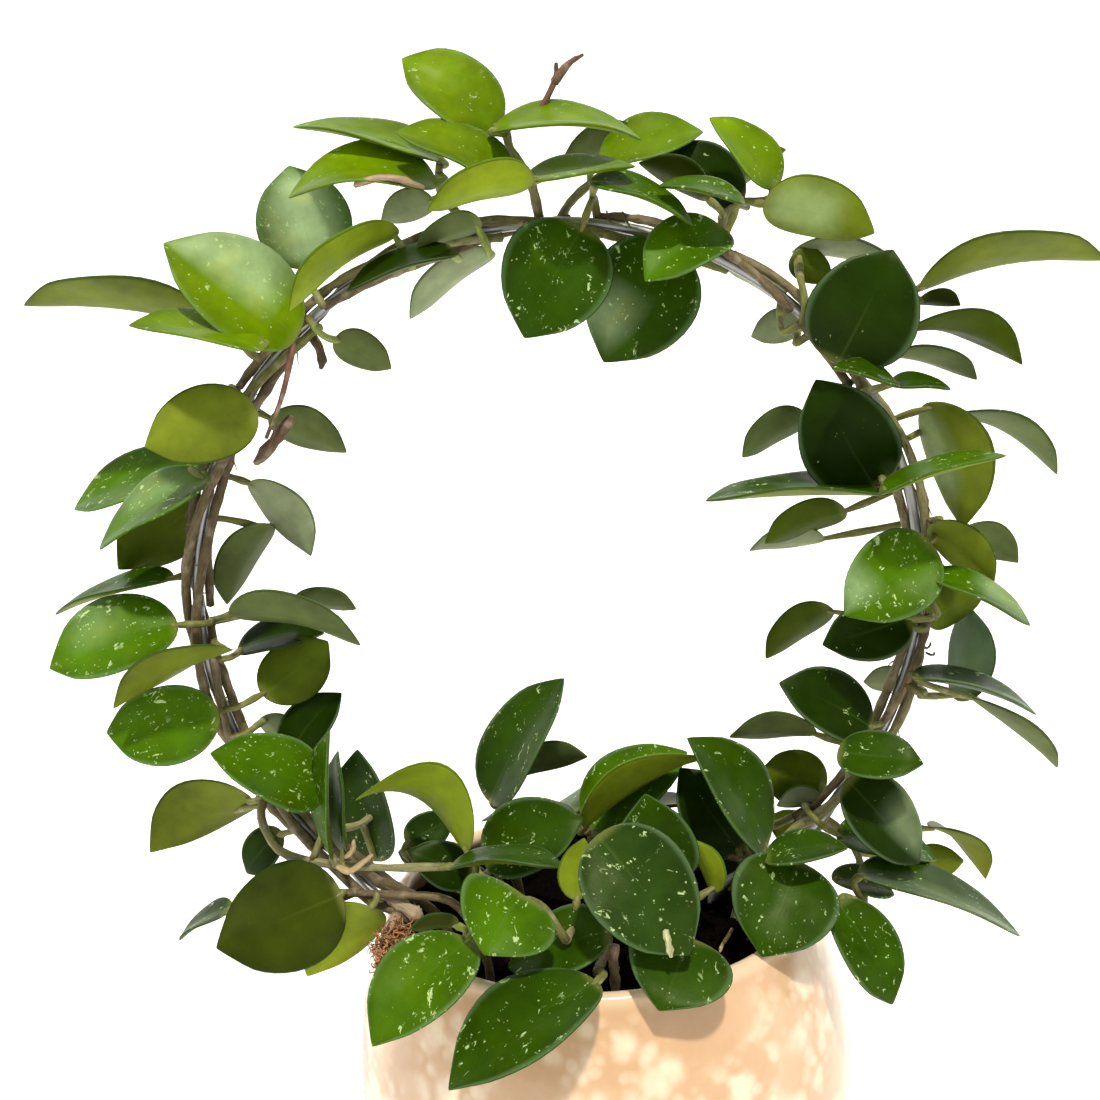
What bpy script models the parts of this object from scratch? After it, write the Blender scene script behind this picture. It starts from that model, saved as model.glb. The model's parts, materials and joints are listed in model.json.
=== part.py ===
"""A hoya trained round a wire hoop that stands in a round glazed pot.

Metres, +Z up. The origin is the middle of the pot's flat foot, the hoop stands in the plane y = 0
and the front of the plant faces -Y. Leaves are placed by where their base and tip show on the
hoop's plane, in millimetres, from a viewpoint in front of the pot, with their depth behind (+) or
in front of (-) that plane.
"""

import math
from collections import namedtuple

import bmesh
import bpy
from mathutils import Vector

MM = 0.001
GAP = 0.3 * MM
VIEWPOINT = Vector((-8.97, -371.09, 289.92)) * MM

POT_HEIGHT = 112 * MM
POT_BELLY_RADIUS = 75.5 * MM
POT_BELLY_HEIGHT = 57 * MM
POT_FOOT_RADIUS = 46 * MM
POT_RIM_RADIUS = 63 * MM
POT_WALL = 5 * MM
POT_SIDES = 30
POT_STEPS = 8
SOIL_TOP = 104 * MM
SOIL_RISE = 1.5 * MM
ROOTED_DEPTH = 22 * MM

HOOP_CENTRE = Vector((-6.9, 0, 204.7)) * MM
HOOP_RADIUS = 105.5 * MM
WIRE_RADIUS = 1.6 * MM
VINE_RADIUS = 1.4 * MM
STRAND_OFFSET = WIRE_RADIUS + VINE_RADIUS + GAP
STRANDS = 4
TURNS_ROUND_HOOP = 5

LEAF_THICKNESS = 1.4 * MM
LEAF_ROWS = 5
LEAF_WIDTH_TO_LENGTH = 0.68
LEAF_CUP = 0.07
PETIOLE_RADIUS = 1.1 * MM
PETIOLE_REACH = 8 * MM
PETIOLE_SUNK = 1.7 * MM
PETIOLE_LIFT = 0.4 * MM
BUNDLE_RADIUS = 7 * MM

UPPER, UNDER = 1, -1

Leaf = namedtuple("Leaf", "side base tip width depth arch", defaults=(6,))
Shoot = namedtuple("Shoot", "stems leaves colour bare", defaults=((0.09, 0.22, 0.03), ()))


def remove_everything():
    for thing in list(bpy.data.objects):
        bpy.data.objects.remove(thing)


def collection(name, hidden=False):
    made = bpy.data.collections.new(name)
    bpy.context.scene.collection.children.link(made)
    made.hide_render = hidden
    return made


def material(name, colour, roughness, metallic=0.0):
    made = bpy.data.materials.new(name)
    made.use_nodes = True
    shader = made.node_tree.nodes["Principled BSDF"]
    shader.inputs["Base Color"].default_value = (*colour, 1)
    shader.inputs["Roughness"].default_value = roughness
    shader.inputs["Metallic"].default_value = metallic
    return made


def seen_at(x, z, depth):
    """The point at this depth that shows at (x, z) on the hoop's plane from the viewpoint, in metres."""
    on_plane = Vector((x, 0, z)) * MM
    nearness = (depth * MM - VIEWPOINT.y) / -VIEWPOINT.y
    return VIEWPOINT + (on_plane - VIEWPOINT) * nearness


def mesh_object(name, mesh, group):
    made = bpy.data.objects.new(name, mesh)
    group.objects.link(made)
    return made


def baked(thing, group, weld=0.01 * MM):
    """The object as it is evaluated, as a plain mesh with its caps or end rows welded."""
    bpy.context.view_layer.update()
    graph = bpy.context.evaluated_depsgraph_get()
    mesh = bpy.data.meshes.new_from_object(thing.evaluated_get(graph))
    sheet = bmesh.new()
    sheet.from_mesh(mesh)
    bmesh.ops.remove_doubles(sheet, verts=sheet.verts, dist=weld)
    bmesh.ops.triangulate(sheet, faces=sheet.faces)
    sheet.to_mesh(mesh)
    sheet.free()
    name = thing.name
    matrix = thing.matrix_world.copy()
    bpy.data.objects.remove(thing)
    made = mesh_object(name, mesh, group)
    made.matrix_world = matrix
    return made


def tube(name, points, radius, group, taper=1.0, sides=6):
    """A round stem or wire through the points, tapering to taper times its radius at the end."""
    curve = bpy.data.curves.new(name, "CURVE")
    curve.dimensions = "3D"
    curve.bevel_depth = radius
    curve.bevel_resolution = (sides - 4) // 2
    curve.use_fill_caps = True
    spline = curve.splines.new("POLY")
    spline.points.add(len(points) - 1)
    last = len(points) - 1
    for index, (point, place) in enumerate(zip(spline.points, points)):
        point.co = (*place, 1)
        point.radius = 1 + (taper - 1) * index / last
    made = bpy.data.objects.new(name, curve)
    group.objects.link(made)
    return baked(made, group)


def smooth_path(points, per_span=4):
    """A Catmull-Rom curve through the points."""
    ends = [2 * points[0] - points[1], *points, 2 * points[-1] - points[-2]]
    path = []
    for a, b, c, d in zip(ends, ends[1:], ends[2:], ends[3:]):
        for step in range(per_span):
            t = step / per_span
            path.append(
                0.5 * (2 * b + (c - a) * t + (2 * a - 5 * b + 4 * c - d) * t**2)
                + 0.5 * (3 * b - a - 3 * c + d) * t**3
            )
    return [*path, points[-1]]


def hoop_point(angle, strand=None, offset=STRAND_OFFSET):
    """A point on the wire, or on a strand wound round it, at degrees from the right, up over the top."""
    turn = math.radians(angle)
    outward = Vector((math.cos(turn), 0, math.sin(turn)))
    place = HOOP_CENTRE + outward * HOOP_RADIUS
    if strand is None:
        return place
    wind = math.radians(angle * TURNS_ROUND_HOOP + 360 * strand / STRANDS)
    return place + offset * (math.cos(wind) * outward + math.sin(wind) * Vector((0, 1, 0)))


def hoop_arc(start, end, strand=None, step=5):
    count = max(2, round(abs(end - start) / step))
    return [hoop_point(start + (end - start) * n / count, strand) for n in range(count + 1)]


def leaf_frame(leaf):
    """Base, tip, face normal and blade width of a leaf, worked out from how it shows."""
    base = seen_at(*leaf.base, leaf.depth[0])
    tip = seen_at(*leaf.tip, leaf.depth[1])
    axis = (tip - base).normalized()
    length = (tip - base).length
    shown = leaf.width * MM
    width = max(shown, LEAF_WIDTH_TO_LENGTH * length)
    middle = (base + tip) / 2
    to_eye = (VIEWPOINT - middle).normalized()
    facing = (to_eye - axis * to_eye.dot(axis)).normalized()
    sky = facing.cross(axis)
    outward = (middle - HOOP_CENTRE).normalized()
    if sky.dot(Vector((0, 0, 1)) + 0.6 * outward) < 0:
        sky = -sky
    cosine = min(1, shown / width)
    normal = leaf.side * cosine * facing + math.sqrt(1 - cosine**2) * sky
    return base, tip, normal.normalized(), width


def blade_half_width(along):
    """The leaf's outline: an oval with a short pointed tip. 1 at its widest."""
    return 2.25 * along**0.5 * (1 - along) ** 0.69


def blade(name, leaf, group):
    base, tip, normal, width = leaf_frame(leaf)
    axis = tip - base
    across = normal.cross(axis.normalized())
    sheet = bmesh.new()
    bmesh.ops.create_grid(sheet, x_segments=1, y_segments=LEAF_ROWS, size=1)
    for vert in sheet.verts:
        side, row = vert.co.x, (vert.co.y + 1) / 2
        along = (1 - math.cos(math.pi * row)) / 2
        spread = blade_half_width(along)
        lift = leaf.arch / 100 * axis.length * 4 * along * (1 - along)
        lift += LEAF_CUP * width * (side * spread) ** 2
        vert.co = base + axis * along + across * (side * spread * width / 2) + normal * lift
    bmesh.ops.remove_doubles(sheet, verts=sheet.verts, dist=0.01 * MM)
    bmesh.ops.triangulate(sheet, faces=sheet.faces)
    mesh = bpy.data.meshes.new(name)
    sheet.to_mesh(mesh)
    sheet.free()
    made = mesh_object(name, mesh, group)
    solidify = made.modifiers.new("thickness", "SOLIDIFY")
    solidify.thickness = LEAF_THICKNESS
    solidify.offset = 0
    solidify.use_even_offset = False
    return baked(made, group)


def half_turn(angle):
    """The same angle between -180 and 180 degrees, in radians."""
    return (angle + math.pi) % (2 * math.pi) - math.pi


def round_the_wire(place):
    """A place's angle along the hoop, its distance from the wire and its angle round the wire."""
    arm = place - HOOP_CENTRE
    angle = math.atan2(arm.z, arm.x)
    rise = math.hypot(arm.x, arm.z) - HOOP_RADIUS
    return angle, math.hypot(rise, arm.y), math.atan2(arm.y, rise)


def petiole_path(start, leaf):
    """From the stem out beside it and round the bundle of stems, then into the blade's base."""
    base, tip, normal, _ = leaf_frame(leaf)
    along = (tip - base).normalized()
    inside = base + along * PETIOLE_SUNK + normal * PETIOLE_LIFT
    angle, distance, way = round_the_wire(start)
    end_angle, end_distance, end_way = round_the_wire(base)
    if distance > BUNDLE_RADIUS or end_distance < BUNDLE_RADIUS:
        reach = (base - start).length
        bend = start.lerp(base, 0.6) - along * min(PETIOLE_REACH, reach) * 0.25
        return [start, bend, inside] if reach > 4 * MM else [start, inside]
    sweep = half_turn(end_way - way)
    climb = half_turn(end_angle - angle)
    bends = round(abs(sweep) / math.radians(75))
    path = [start]
    for n in range(1, bends + 1):
        part = n / (bends + 1)
        turn = angle + climb * part
        round_wire = way + sweep * part
        outward = Vector((math.cos(turn), 0, math.sin(turn)))
        ring = HOOP_CENTRE + outward * (HOOP_RADIUS + BUNDLE_RADIUS * math.cos(round_wire))
        path.append(ring + Vector((0, BUNDLE_RADIUS * math.sin(round_wire), 0)))
    return [*path, inside]


def nearest(points, place):
    return min(points, key=lambda point: (point - place).length)


def unite(pieces, name, group, look):
    """One solid from the pieces, joined by a Boolean union on a collection."""
    first, others = pieces[0], pieces[1:]
    cutters = collection(f"{name} pieces", hidden=True)
    for piece in others:
        group.objects.unlink(piece)
        cutters.objects.link(piece)
    union = first.modifiers.new("union", "BOOLEAN")
    union.operand_type = "COLLECTION"
    union.collection = cutters
    union.operation = "UNION"
    union.solver = "MANIFOLD"
    first.name = name
    made = baked(first, group, weld=0.0001 * MM)
    made.name = name
    for piece in others:
        bpy.data.objects.remove(piece)
    bpy.data.collections.remove(cutters)
    return finish(made, look)


def finish(thing, look):
    thing.data.materials.clear()
    thing.data.materials.append(look)
    thing.data.shade_smooth()
    thing.data.set_sharp_from_angle(angle=math.radians(40))
    return thing


def pot_radius(height):
    """The outer wall: two elliptical arcs that meet at the belly."""
    rise = height - POT_BELLY_HEIGHT
    end_radius, end_rise = POT_RIM_RADIUS, POT_HEIGHT - POT_BELLY_HEIGHT
    if rise < 0:
        end_radius, end_rise = POT_FOOT_RADIUS, POT_BELLY_HEIGHT
    reach = end_rise / math.sqrt(1 - (end_radius / POT_BELLY_RADIUS) ** 2)
    return POT_BELLY_RADIUS * math.sqrt(1 - (rise / reach) ** 2)


def turned(name, profile, group):
    """A solid or sheet turned about Z from a profile of (radius, height), from its top to its foot."""
    mesh = bpy.data.meshes.new(name)
    mesh.from_pydata([(r, 0, z) for r, z in profile], [(n, n + 1) for n in range(len(profile) - 1)], [])
    made = mesh_object(name, mesh, group)
    screw = made.modifiers.new("turn", "SCREW")
    screw.steps = screw.render_steps = POT_SIDES
    screw.use_merge_vertices = True
    screw.merge_threshold = 0.00001
    return made


def pot_profile():
    """The outer wall from lip to foot, then across the flat foot to the middle."""
    heights = [POT_HEIGHT * (1 - n / POT_STEPS) for n in range(POT_STEPS + 1)]
    return [(pot_radius(z), z) for z in heights] + [(0, 0)]


def inset(profile, distance):
    """The profile moved evenly inwards, keeping its first point's height and its last on the axis."""
    directions = [Vector((b[0] - a[0], b[1] - a[1])).normalized() for a, b in zip(profile, profile[1:])]
    moved = []
    for point, before, after in zip(profile, [directions[0], *directions], [*directions, directions[-1]]):
        inwards = (Vector((before.y, -before.x)) + Vector((after.y, -after.x))).normalized()
        reach = distance / inwards.dot(Vector((before.y, -before.x)))
        moved.append((point[0] + inwards.x * reach, point[1] + inwards.y * reach))
    return moved


def make_pot(parts):
    """A turned bowl, thickened inwards, with a rounded lip."""
    pot = turned("pot", pot_profile(), parts)
    wall = pot.modifiers.new("wall", "SOLIDIFY")
    wall.thickness = POT_WALL
    wall.offset = -1
    wall.use_even_offset = True
    lip = pot.modifiers.new("lip", "BEVEL")
    lip.width = 1.8 * MM
    lip.segments = 2
    lip.angle_limit = math.radians(55)
    return finish(baked(pot, parts), material("glazed_pot", (0.88, 0.68, 0.52), 0.18))


def pot_keep_out(group):
    """The pot's outer form, a little larger and solid, for cutting what lies against it."""
    grown = inset(pot_profile(), -2 * GAP)
    top = grown[0][1] + 2 * GAP
    return turned("pot_keep_out", [(0, top), (grown[0][0], top), *grown[1:]], group)


def make_soil(parts, rooted):
    """The filling of the pot, with a plain hole for each wire or stem that stands in it."""
    wall = inset(pot_profile(), POT_WALL + 1.3 * GAP)
    upper = [point for point in wall if point[1] > SOIL_TOP][-1]
    lower = [point for point in wall if point[1] <= SOIL_TOP]
    part = (SOIL_TOP - lower[0][1]) / (upper[1] - lower[0][1])
    edge = (lower[0][0] + (upper[0] - lower[0][0]) * part, SOIL_TOP)
    profile = [(0, SOIL_TOP + SOIL_RISE), (edge[0] * 0.55, SOIL_TOP + SOIL_RISE * 0.7), edge, *lower]
    soil = baked(turned("soil", profile, parts), parts)
    holes = collection("stem holes", hidden=True)
    for index, (path, radius) in enumerate(rooted):
        end = path[-1] + (path[-1] - path[-2]).normalized() * 2 * GAP
        start = path[-2] + (path[-2] - path[-1]).normalized() * 3 * MM
        hole = tube(f"hole_{index}", [start, end], radius + 1.6 * GAP, holes)
        cut = soil.modifiers.new(hole.name, "BOOLEAN")
        cut.object = hole
        cut.operation = "DIFFERENCE"
    soil = baked(soil, parts)
    for hole in list(holes.objects):
        bpy.data.objects.remove(hole)
    return finish(soil, material("potting_soil", (0.03, 0.022, 0.016), 0.95))


def rooted_end(x, y, lean=(0, 0)):
    """Where a stem enters the soil at (x, y) and where it ends in it, as the last two points of its path."""
    entry = Vector((x, y, 0)) * MM + Vector((0, 0, SOIL_TOP + 4 * MM))
    foot = entry + Vector((*lean, 0)) * MM - Vector((0, 0, ROOTED_DEPTH))
    return [entry, foot]


def spot(x, y, z):
    return Vector((x, y, z)) * MM


def make_wire(parts):
    """The hoop: nearly a full circle, its ends bent down into the soil. Its left leg passes over the lip."""
    left = [spot(-66, -8, 116.5), spot(-57, -13, 114.3), *rooted_end(-51, -15, (3, 0))]
    right = rooted_end(36, 0, (-4, 0))
    path = [*reversed(right), *hoop_arc(-55, 229), *left]
    wire = tube("hoop_wire", path, WIRE_RADIUS, parts)
    finish(wire, material("galvanised_wire", (0.42, 0.43, 0.44), 0.4, 1.0))
    return [(left, WIRE_RADIUS), (right, WIRE_RADIUS)]


def make_vines(parts):
    """Bare woody stems wound round the wire, each from its own hole in the soil."""
    bark = material("vine_bark", (0.25, 0.17, 0.11), 0.8)
    left_ends = {
        1: ((96, 226), [spot(-64, -2, 119), spot(-55, -8.5, 116), *rooted_end(-47.5, -11)]),
        2: ((60, 226), [spot(-65, -8, 121), spot(-55, -13.5, 119), *rooted_end(-45, -15, (2, 0))]),
        3: ((128, 226), [spot(-68, -12, 117.5), spot(-59, -17.5, 116), *rooted_end(-50.5, -19.5)]),
    }
    right_ends = {
        1: ((92, -50), rooted_end(42, -9)),
        3: ((36, -50), rooted_end(44, 8)),
    }
    rooted = []
    for side, ends in (("left", left_ends), ("right", right_ends)):
        for strand, ((top, foot), soil_end) in ends.items():
            path = [*hoop_arc(top, foot, strand), *soil_end]
            path.reverse()
            vine = tube(f"vine_{side}_{strand}", path, VINE_RADIUS, parts, taper=0.8)
            finish(vine, bark)
            rooted.append((soil_end, VINE_RADIUS))
    return rooted


def make_shoot(name, shoot, parts):
    """Younger stems with a petiole and a blade for each leaf, joined in one solid."""
    stems = [*shoot.stems, *shoot.bare]
    tapers = [1.0] * len(shoot.stems) + [0.6] * len(shoot.bare)
    pieces = [
        tube(f"{name}_stem_{n}", path, VINE_RADIUS, parts, taper=taper)
        for n, (path, taper) in enumerate(zip(stems, tapers))
    ]
    joints = [point for path in shoot.stems for point in smooth_path(path, 3)]
    for index, leaf in enumerate(shoot.leaves):
        base = seen_at(*leaf.base, leaf.depth[0])
        path = petiole_path(nearest(joints, base), leaf)
        pieces.append(tube(f"{name}_petiole_{index}", path, PETIOLE_RADIUS, parts, taper=0.5, sides=4))
        pieces.append(blade(f"{name}_blade_{index}", leaf, parts))
    return unite(pieces, name, parts, material(name, shoot.colour, 0.35))


def leafy_arc(start, end):
    return hoop_arc(start, end, strand=0)


YOUNG = (0.2, 0.42, 0.04)
RUNNER_OVER_LIP = (spot(-66, -19, 131), spot(-44, -26, 133))

SHOOTS = {
    "shoot_crown": Shoot(
        [
            leafy_arc(85.5, 98),
            [hoop_point(90, 0), spot(-9, -3, 321), spot(-14, -2, 330), spot(-15, -2, 336)],
            [hoop_point(87, 0), spot(2, 8, 316), spot(8, 10, 321)],
        ],
        [
            Leaf(UPPER, (-17, 335.5), (-42, 355.3), 19, (2, 4)),
            Leaf(UPPER, (-13.5, 321.5), (-45, 336.5), 12, (-9, -12)),
            Leaf(UPPER, (-19, 335), (22, 331.5), 6, (-8, -8), 8),
            Leaf(UNDER, (-8, 321.5), (-38, 315.5), 10, (-24, -31)),
            Leaf(UPPER, (-11, 321.5), (20, 324), 5, (-14, -16), 2),
            Leaf(UPPER, (10.5, 325.5), (39, 332.5), 12, (8, 10)),
            Leaf(UNDER, (22.5, 331), (-1, 325), 10, (18, 16)),
        ],
        YOUNG,
        [
            [spot(-15, -2, 336), spot(-7.3, -1, 338), spot(-1.2, 0, 347), spot(-0.4, 0, 352)],
            [spot(-1.2, 0, 347), spot(2.9, 0, 351.6), spot(7, 0, 353.8)],
        ],
    ),
    "shoot_top_left": Shoot(
        [
            leafy_arc(98.6, 125.5),
            [hoop_point(98.6, 0), spot(-28, 7, 312), spot(-34, 4, 320), spot(-34, 1, 327)],
        ],
        [
            Leaf(UPPER, (-32.7, 327.8), (-73, 339.5), 6.5, (6, 6), 3),
            Leaf(UPPER, (-34.7, 321.8), (-76, 320.7), 12, (-6, -8), 14),
            Leaf(UPPER, (-70, 301), (-75, 329), 27, (12, 12)),
            Leaf(UNDER, (-36, 318), (-51, 313), 9.5, (12, 16)),
            Leaf(UNDER, (-46, 310), (-79, 290.5), 8.5, (-14, -22), 6),
            Leaf(UNDER, (-23, 311), (-42, 305), 7, (-12, -14)),
            Leaf(UPPER, (-30, 303), (-62, 294.5), 6, (-18, -20)),
            Leaf(UNDER, (-20, 303), (-45, 286), 9, (13, 16)),
        ],
        YOUNG,
    ),
    "shoot_top_front": Shoot(
        [leafy_arc(67, 81.5)],
        [
            Leaf(UPPER, (5, 308.5), (-13, 279), 30, (-8, -14)),
            Leaf(UPPER, (29, 303), (9, 271), 31, (-3, -5)),
            Leaf(UPPER, (44, 306), (21.5, 293), 17, (-10, -24)),
            Leaf(UPPER, (7, 320.5), (35.5, 308), 6, (-16, -18)),
        ],
    ),
    "shoot_top_right": Shoot(
        [
            leafy_arc(48.8, 64.5),
            [hoop_point(62, 0), spot(44, 2, 309), spot(50, 2, 313)],
        ],
        [
            Leaf(UNDER, (40, 314), (21, 325), 8, (-5, -5)),
            Leaf(UPPER, (50, 312.5), (26, 318.5), 4, (-18, -18)),
            Leaf(UPPER, (49, 312), (28, 328), 15, (8, 8)),
            Leaf(UPPER, (59, 316.5), (41, 336), 11, (-2, -2)),
            Leaf(UNDER, (48, 318), (61.5, 326.5), 6, (18, 20)),
            Leaf(UNDER, (55, 312), (86, 303), 17, (-8, -14), 10),
        ],
    ),
    "shoot_left_shoulder": Shoot(
        [
            leafy_arc(128.5, 143.5),
            [hoop_point(138, 0), spot(-90, -3, 279), spot(-93, -3, 284), spot(-97, 0, 287)],
        ],
        [
            Leaf(UNDER, (-98.5, 287), (-152, 296), 9, (4, 6), 4),
            Leaf(UPPER, (-77, 282), (-111.3, 310.4), 26, (-8, -16)),
            Leaf(UPPER, (-86, 280), (-123.6, 288.8), 9, (-20, -26), 4),
            Leaf(UNDER, (-66.5, 281.5), (-51, 272.5), 11, (8, 12)),
        ],
        YOUNG,
        [[hoop_point(133, 0), spot(-77, -8, 281), spot(-80, -11, 268), spot(-85, -15, 256)]],
    ),
    "shoot_left_upper": Shoot(
        [leafy_arc(144.3, 156.5)],
        [
            Leaf(UNDER, (-90, 262.5), (-123, 254), 21, (-20, -30)),
            Leaf(UPPER, (-105, 246.5), (-145.5, 237.5), 15, (16, 18)),
            Leaf(UNDER, (-87, 260), (-65.5, 249.5), 11, (6, 10)),
        ],
    ),
    "shoot_left_mid": Shoot(
        [leafy_arc(158.5, 179)],
        [
            Leaf(UPPER, (-105, 244), (-139.5, 225), 10, (-9, -14)),
            Leaf(UNDER, (-107, 238), (-134.5, 219), 23, (12, 14)),
            Leaf(UPPER, (-119, 215), (-154.7, 207), 4.5, (2, 2), 3),
            Leaf(UNDER, (-94, 242.5), (-78, 220), 11, (4, 8)),
            Leaf(UNDER, (-90, 230), (-104.5, 207), 12, (8, 12)),
        ],
    ),
    "shoot_left_low": Shoot(
        [leafy_arc(181.5, 210.5)],
        [
            Leaf(UPPER, (-119, 201.5), (-158.5, 190.5), 22, (-8, -14)),
            Leaf(UNDER, (-104, 204), (-66, 192.5), 9, (-8, -10), 9),
            Leaf(UNDER, (-85.5, 206), (-66.5, 203.5), 7, (18, 22)),
            Leaf(UPPER, (-102.5, 192.5), (-76.5, 196.5), 10, (10, 12)),
            Leaf(UNDER, (-104, 193), (-141, 177.5), 7, (-16, -20)),
            Leaf(UPPER, (-109.5, 173), (-144, 169.5), 23, (-9, -9)),
            Leaf(UNDER, (-96.5, 178.5), (-75.5, 194), 19, (2, 4)),
            Leaf(UNDER, (-97, 172), (-88, 160), 8, (10, 12)),
        ],
    ),
    "shoot_left_foot": Shoot(
        [
            leafy_arc(211.5, 224),
            [hoop_point(224, 0), spot(-82, 9, 131), spot(-74, 12, 131), spot(-69, 14, 133)],
            [hoop_point(212, 0), spot(-98, -8, 141), spot(-90, -13, 133), *RUNNER_OVER_LIP],
        ],
        [
            Leaf(UPPER, (-81, 147), (-113.5, 161.5), 20, (-12, -24)),
            Leaf(UPPER, (-91, 157), (-73, 178), 15, (2, 6)),
            Leaf(UPPER, (-80, 126), (-78, 166.5), 5, (-20, -18), 3),
            Leaf(UPPER, (-75.5, 127), (-76, 160), 6, (-16, -6), 3),
            Leaf(UPPER, (-66.5, 124), (-70, 160), 19, (17, 20)),
            Leaf(UNDER, (-102.5, 146.5), (-135, 131), 18, (4, 6), 12),
            Leaf(UNDER, (-109.5, 143), (-122.5, 134.5), 8, (16, 20)),
            Leaf(UPPER, (-94.5, 135.5), (-106.5, 122.5), 12, (6, 8)),
            Leaf(UPPER, (-44.5, 121), (-9.5, 119), 6, (-30, -36), 5),
        ],
    ),
    "shoot_pot_left": Shoot(
        [
            [*reversed(rooted_end(-36, -22)), spot(-43, -21, 120), spot(-59, -19, 122), spot(-76, -20, 124)],
            [spot(-70, -19.5, 124), spot(-82, -14, 118), spot(-96, -2, 114), spot(-104, 8, 113)],
        ],
        [
            Leaf(UNDER, (-78, 114), (-118, 98.5), 31, (-24, -32)),
            Leaf(UNDER, (-69, 109), (-91, 87.5), 18, (-23, -17)),
            Leaf(UPPER, (-112, 111), (-129.3, 102), 5, (12, 16)),
        ],
    ),
    "shoot_left_lip": Shoot(
        [[*reversed(rooted_end(-32, -38)), spot(-35, -42, 118), spot(-37, -48, 122)]],
        [
            Leaf(UPPER, (-40, 96.5), (-73, 63), 21, (-56, -78)),
            Leaf(UNDER, (-43, 102), (-58, 101.5), 4, (-46, -50)),
        ],
        YOUNG,
    ),
    "shoot_bottom_left": Shoot(
        [
            [*reversed(rooted_end(-24, 8)), spot(-28, 6, 126), spot(-26, 8, 138), spot(-25, 12, 148)],
            [spot(-28, 6, 122), spot(-42, 0, 123), spot(-56, 2, 123)],
            [spot(-28, 4, 122), spot(-33, -8, 122), spot(-37, -16, 123)],
        ],
        [
            Leaf(UNDER, (-38.5, 126), (-71.5, 144.5), 11, (-20, -24), 34),
            Leaf(UPPER, (-57.5, 130), (-42.5, 137.5), 12, (6, 10)),
            Leaf(UPPER, (-31, 141), (-7, 179), 19, (6, 12)),
            Leaf(UNDER, (-25, 149.5), (-1, 154.5), 9, (18, 22)),
            Leaf(UPPER, (-34.5, 124.5), (-3, 134.5), 22, (-10, -17)),
            Leaf(UPPER, (-44, 122), (-60, 127), 11, (18, 23)),
            Leaf(UPPER, (-38, 117), (-57, 127), 14, (-5, -7)),
            Leaf(UPPER, (-31, 112), (-52, 118), 9, (-4, -2)),
        ],
    ),
    "shoot_pot_front": Shoot(
        [
            [*reversed(rooted_end(2, -26)), spot(2, -34, 122), spot(6, -44, 128), spot(10, -50, 127)],
            [spot(2, -34, 122), spot(-8, -46, 122), spot(-10, -52, 122)],
            [spot(2, -26.5, 109), spot(0, -38, 109), spot(-2, -47, 110.5), spot(-2.3, -54, 113.5)],
        ],
        [
            Leaf(UPPER, (-23, 111), (-36, 91.5), 28, (-50, -66)),
            Leaf(UPPER, (4, 97), (-29, 87), 17, (-50, -44)),
            Leaf(UPPER, (-1, 80), (-50, 46), 20, (-66, -84)),
            Leaf(UPPER, (27, 94), (17.5, 69.5), 28, (-54, -72)),
            Leaf(UPPER, (0.8, 128.9), (27.8, 87.8), 28, (-52, -68)),
            Leaf(UPPER, (20, 112), (16, 141), 24, (-30, -36)),
            Leaf(UNDER, (36.5, 108), (31, 125.5), 7, (-26, -22)),
            Leaf(UNDER, (-6.7, 108), (-3.2, 128.2), 10, (-42, -36)),
        ],
    ),
    "shoot_pot_back": Shoot(
        [[*reversed(rooted_end(0, 26)), spot(0, 32, 118), spot(2, 40, 121), spot(2, 46, 121)]],
        [
            Leaf(UPPER, (-4, 137), (-13, 135), 5, (48, 88), 9),
            Leaf(UPPER, (8, 137), (18, 136), 5, (46, 86), 9),
            Leaf(UPPER, (-6, 134), (-34, 136), 6, (38, 52)),
            Leaf(UPPER, (8, 134), (34, 137), 6, (38, 50)),
        ],
    ),
    "shoot_bottom_right": Shoot(
        [
            [*reversed(rooted_end(22, 2)), spot(24, 0, 122), spot(34, -4, 123), spot(48, -8, 121)],
            [spot(24, 0, 118), spot(8, -1, 126), spot(-2, -2, 131)],
            [spot(34, -4, 123), spot(50, 6, 124), spot(62, 8, 128)],
        ],
        [
            Leaf(UPPER, (-3, 133), (29, 154), 21, (5, 9)),
            Leaf(UNDER, (-3, 131.5), (35, 152.5), 7, (-10, -12), 8),
            Leaf(UPPER, (52, 121.5), (29.5, 158.5), 17, (-14, -14)),
            Leaf(UPPER, (44, 121), (26.7, 149), 21, (-4, -2)),
            Leaf(UPPER, (45, 116), (22, 130), 16, (6, 12)),
            Leaf(UNDER, (71, 142), (51, 147), 18, (12, 14)),
            Leaf(UNDER, (69, 137), (55.5, 135.5), 6, (6, 6)),
            Leaf(UNDER, (68, 124), (53, 132), 12, (12, 16)),
            Leaf(UPPER, (51.5, 118), (77, 120.5), 9, (-32, -36)),
            Leaf(UPPER, (62, 117), (50, 86), 30, (-30, -48)),
        ],
    ),
    "shoot_right_foot": Shoot(
        [
            leafy_arc(-31.5, -46),
            [hoop_point(-46, 0), spot(70, 9, 128), spot(79, 4, 121), spot(79, -10, 116), spot(77, -20, 112)],
        ],
        [
            Leaf(UPPER, (73, 103), (90.9, 67.4), 17, (-32, -44)),
            Leaf(UPPER, (80, 112), (130.3, 88.5), 10, (-22, -30)),
            Leaf(UPPER, (72, 110.5), (91.5, 104.5), 8, (-14, -12)),
            Leaf(UPPER, (73.5, 124), (104.5, 115.5), 12, (-6, -6)),
            Leaf(UPPER, (76.5, 142.5), (99, 114), 19, (-20, -26)),
            Leaf(UPPER, (74, 151), (100, 146.5), 14, (-23, -33)),
            Leaf(UNDER, (102, 126), (119.5, 108.3), 5, (10, 12), 14),
            Leaf(UNDER, (98, 115), (112.5, 114.3), 11, (10, 12)),
        ],
    ),
    "shoot_right_low": Shoot(
        [leafy_arc(-6.5, -29)],
        [
            Leaf(UPPER, (84.5, 158), (57, 174), 19, (-8, -12)),
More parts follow.
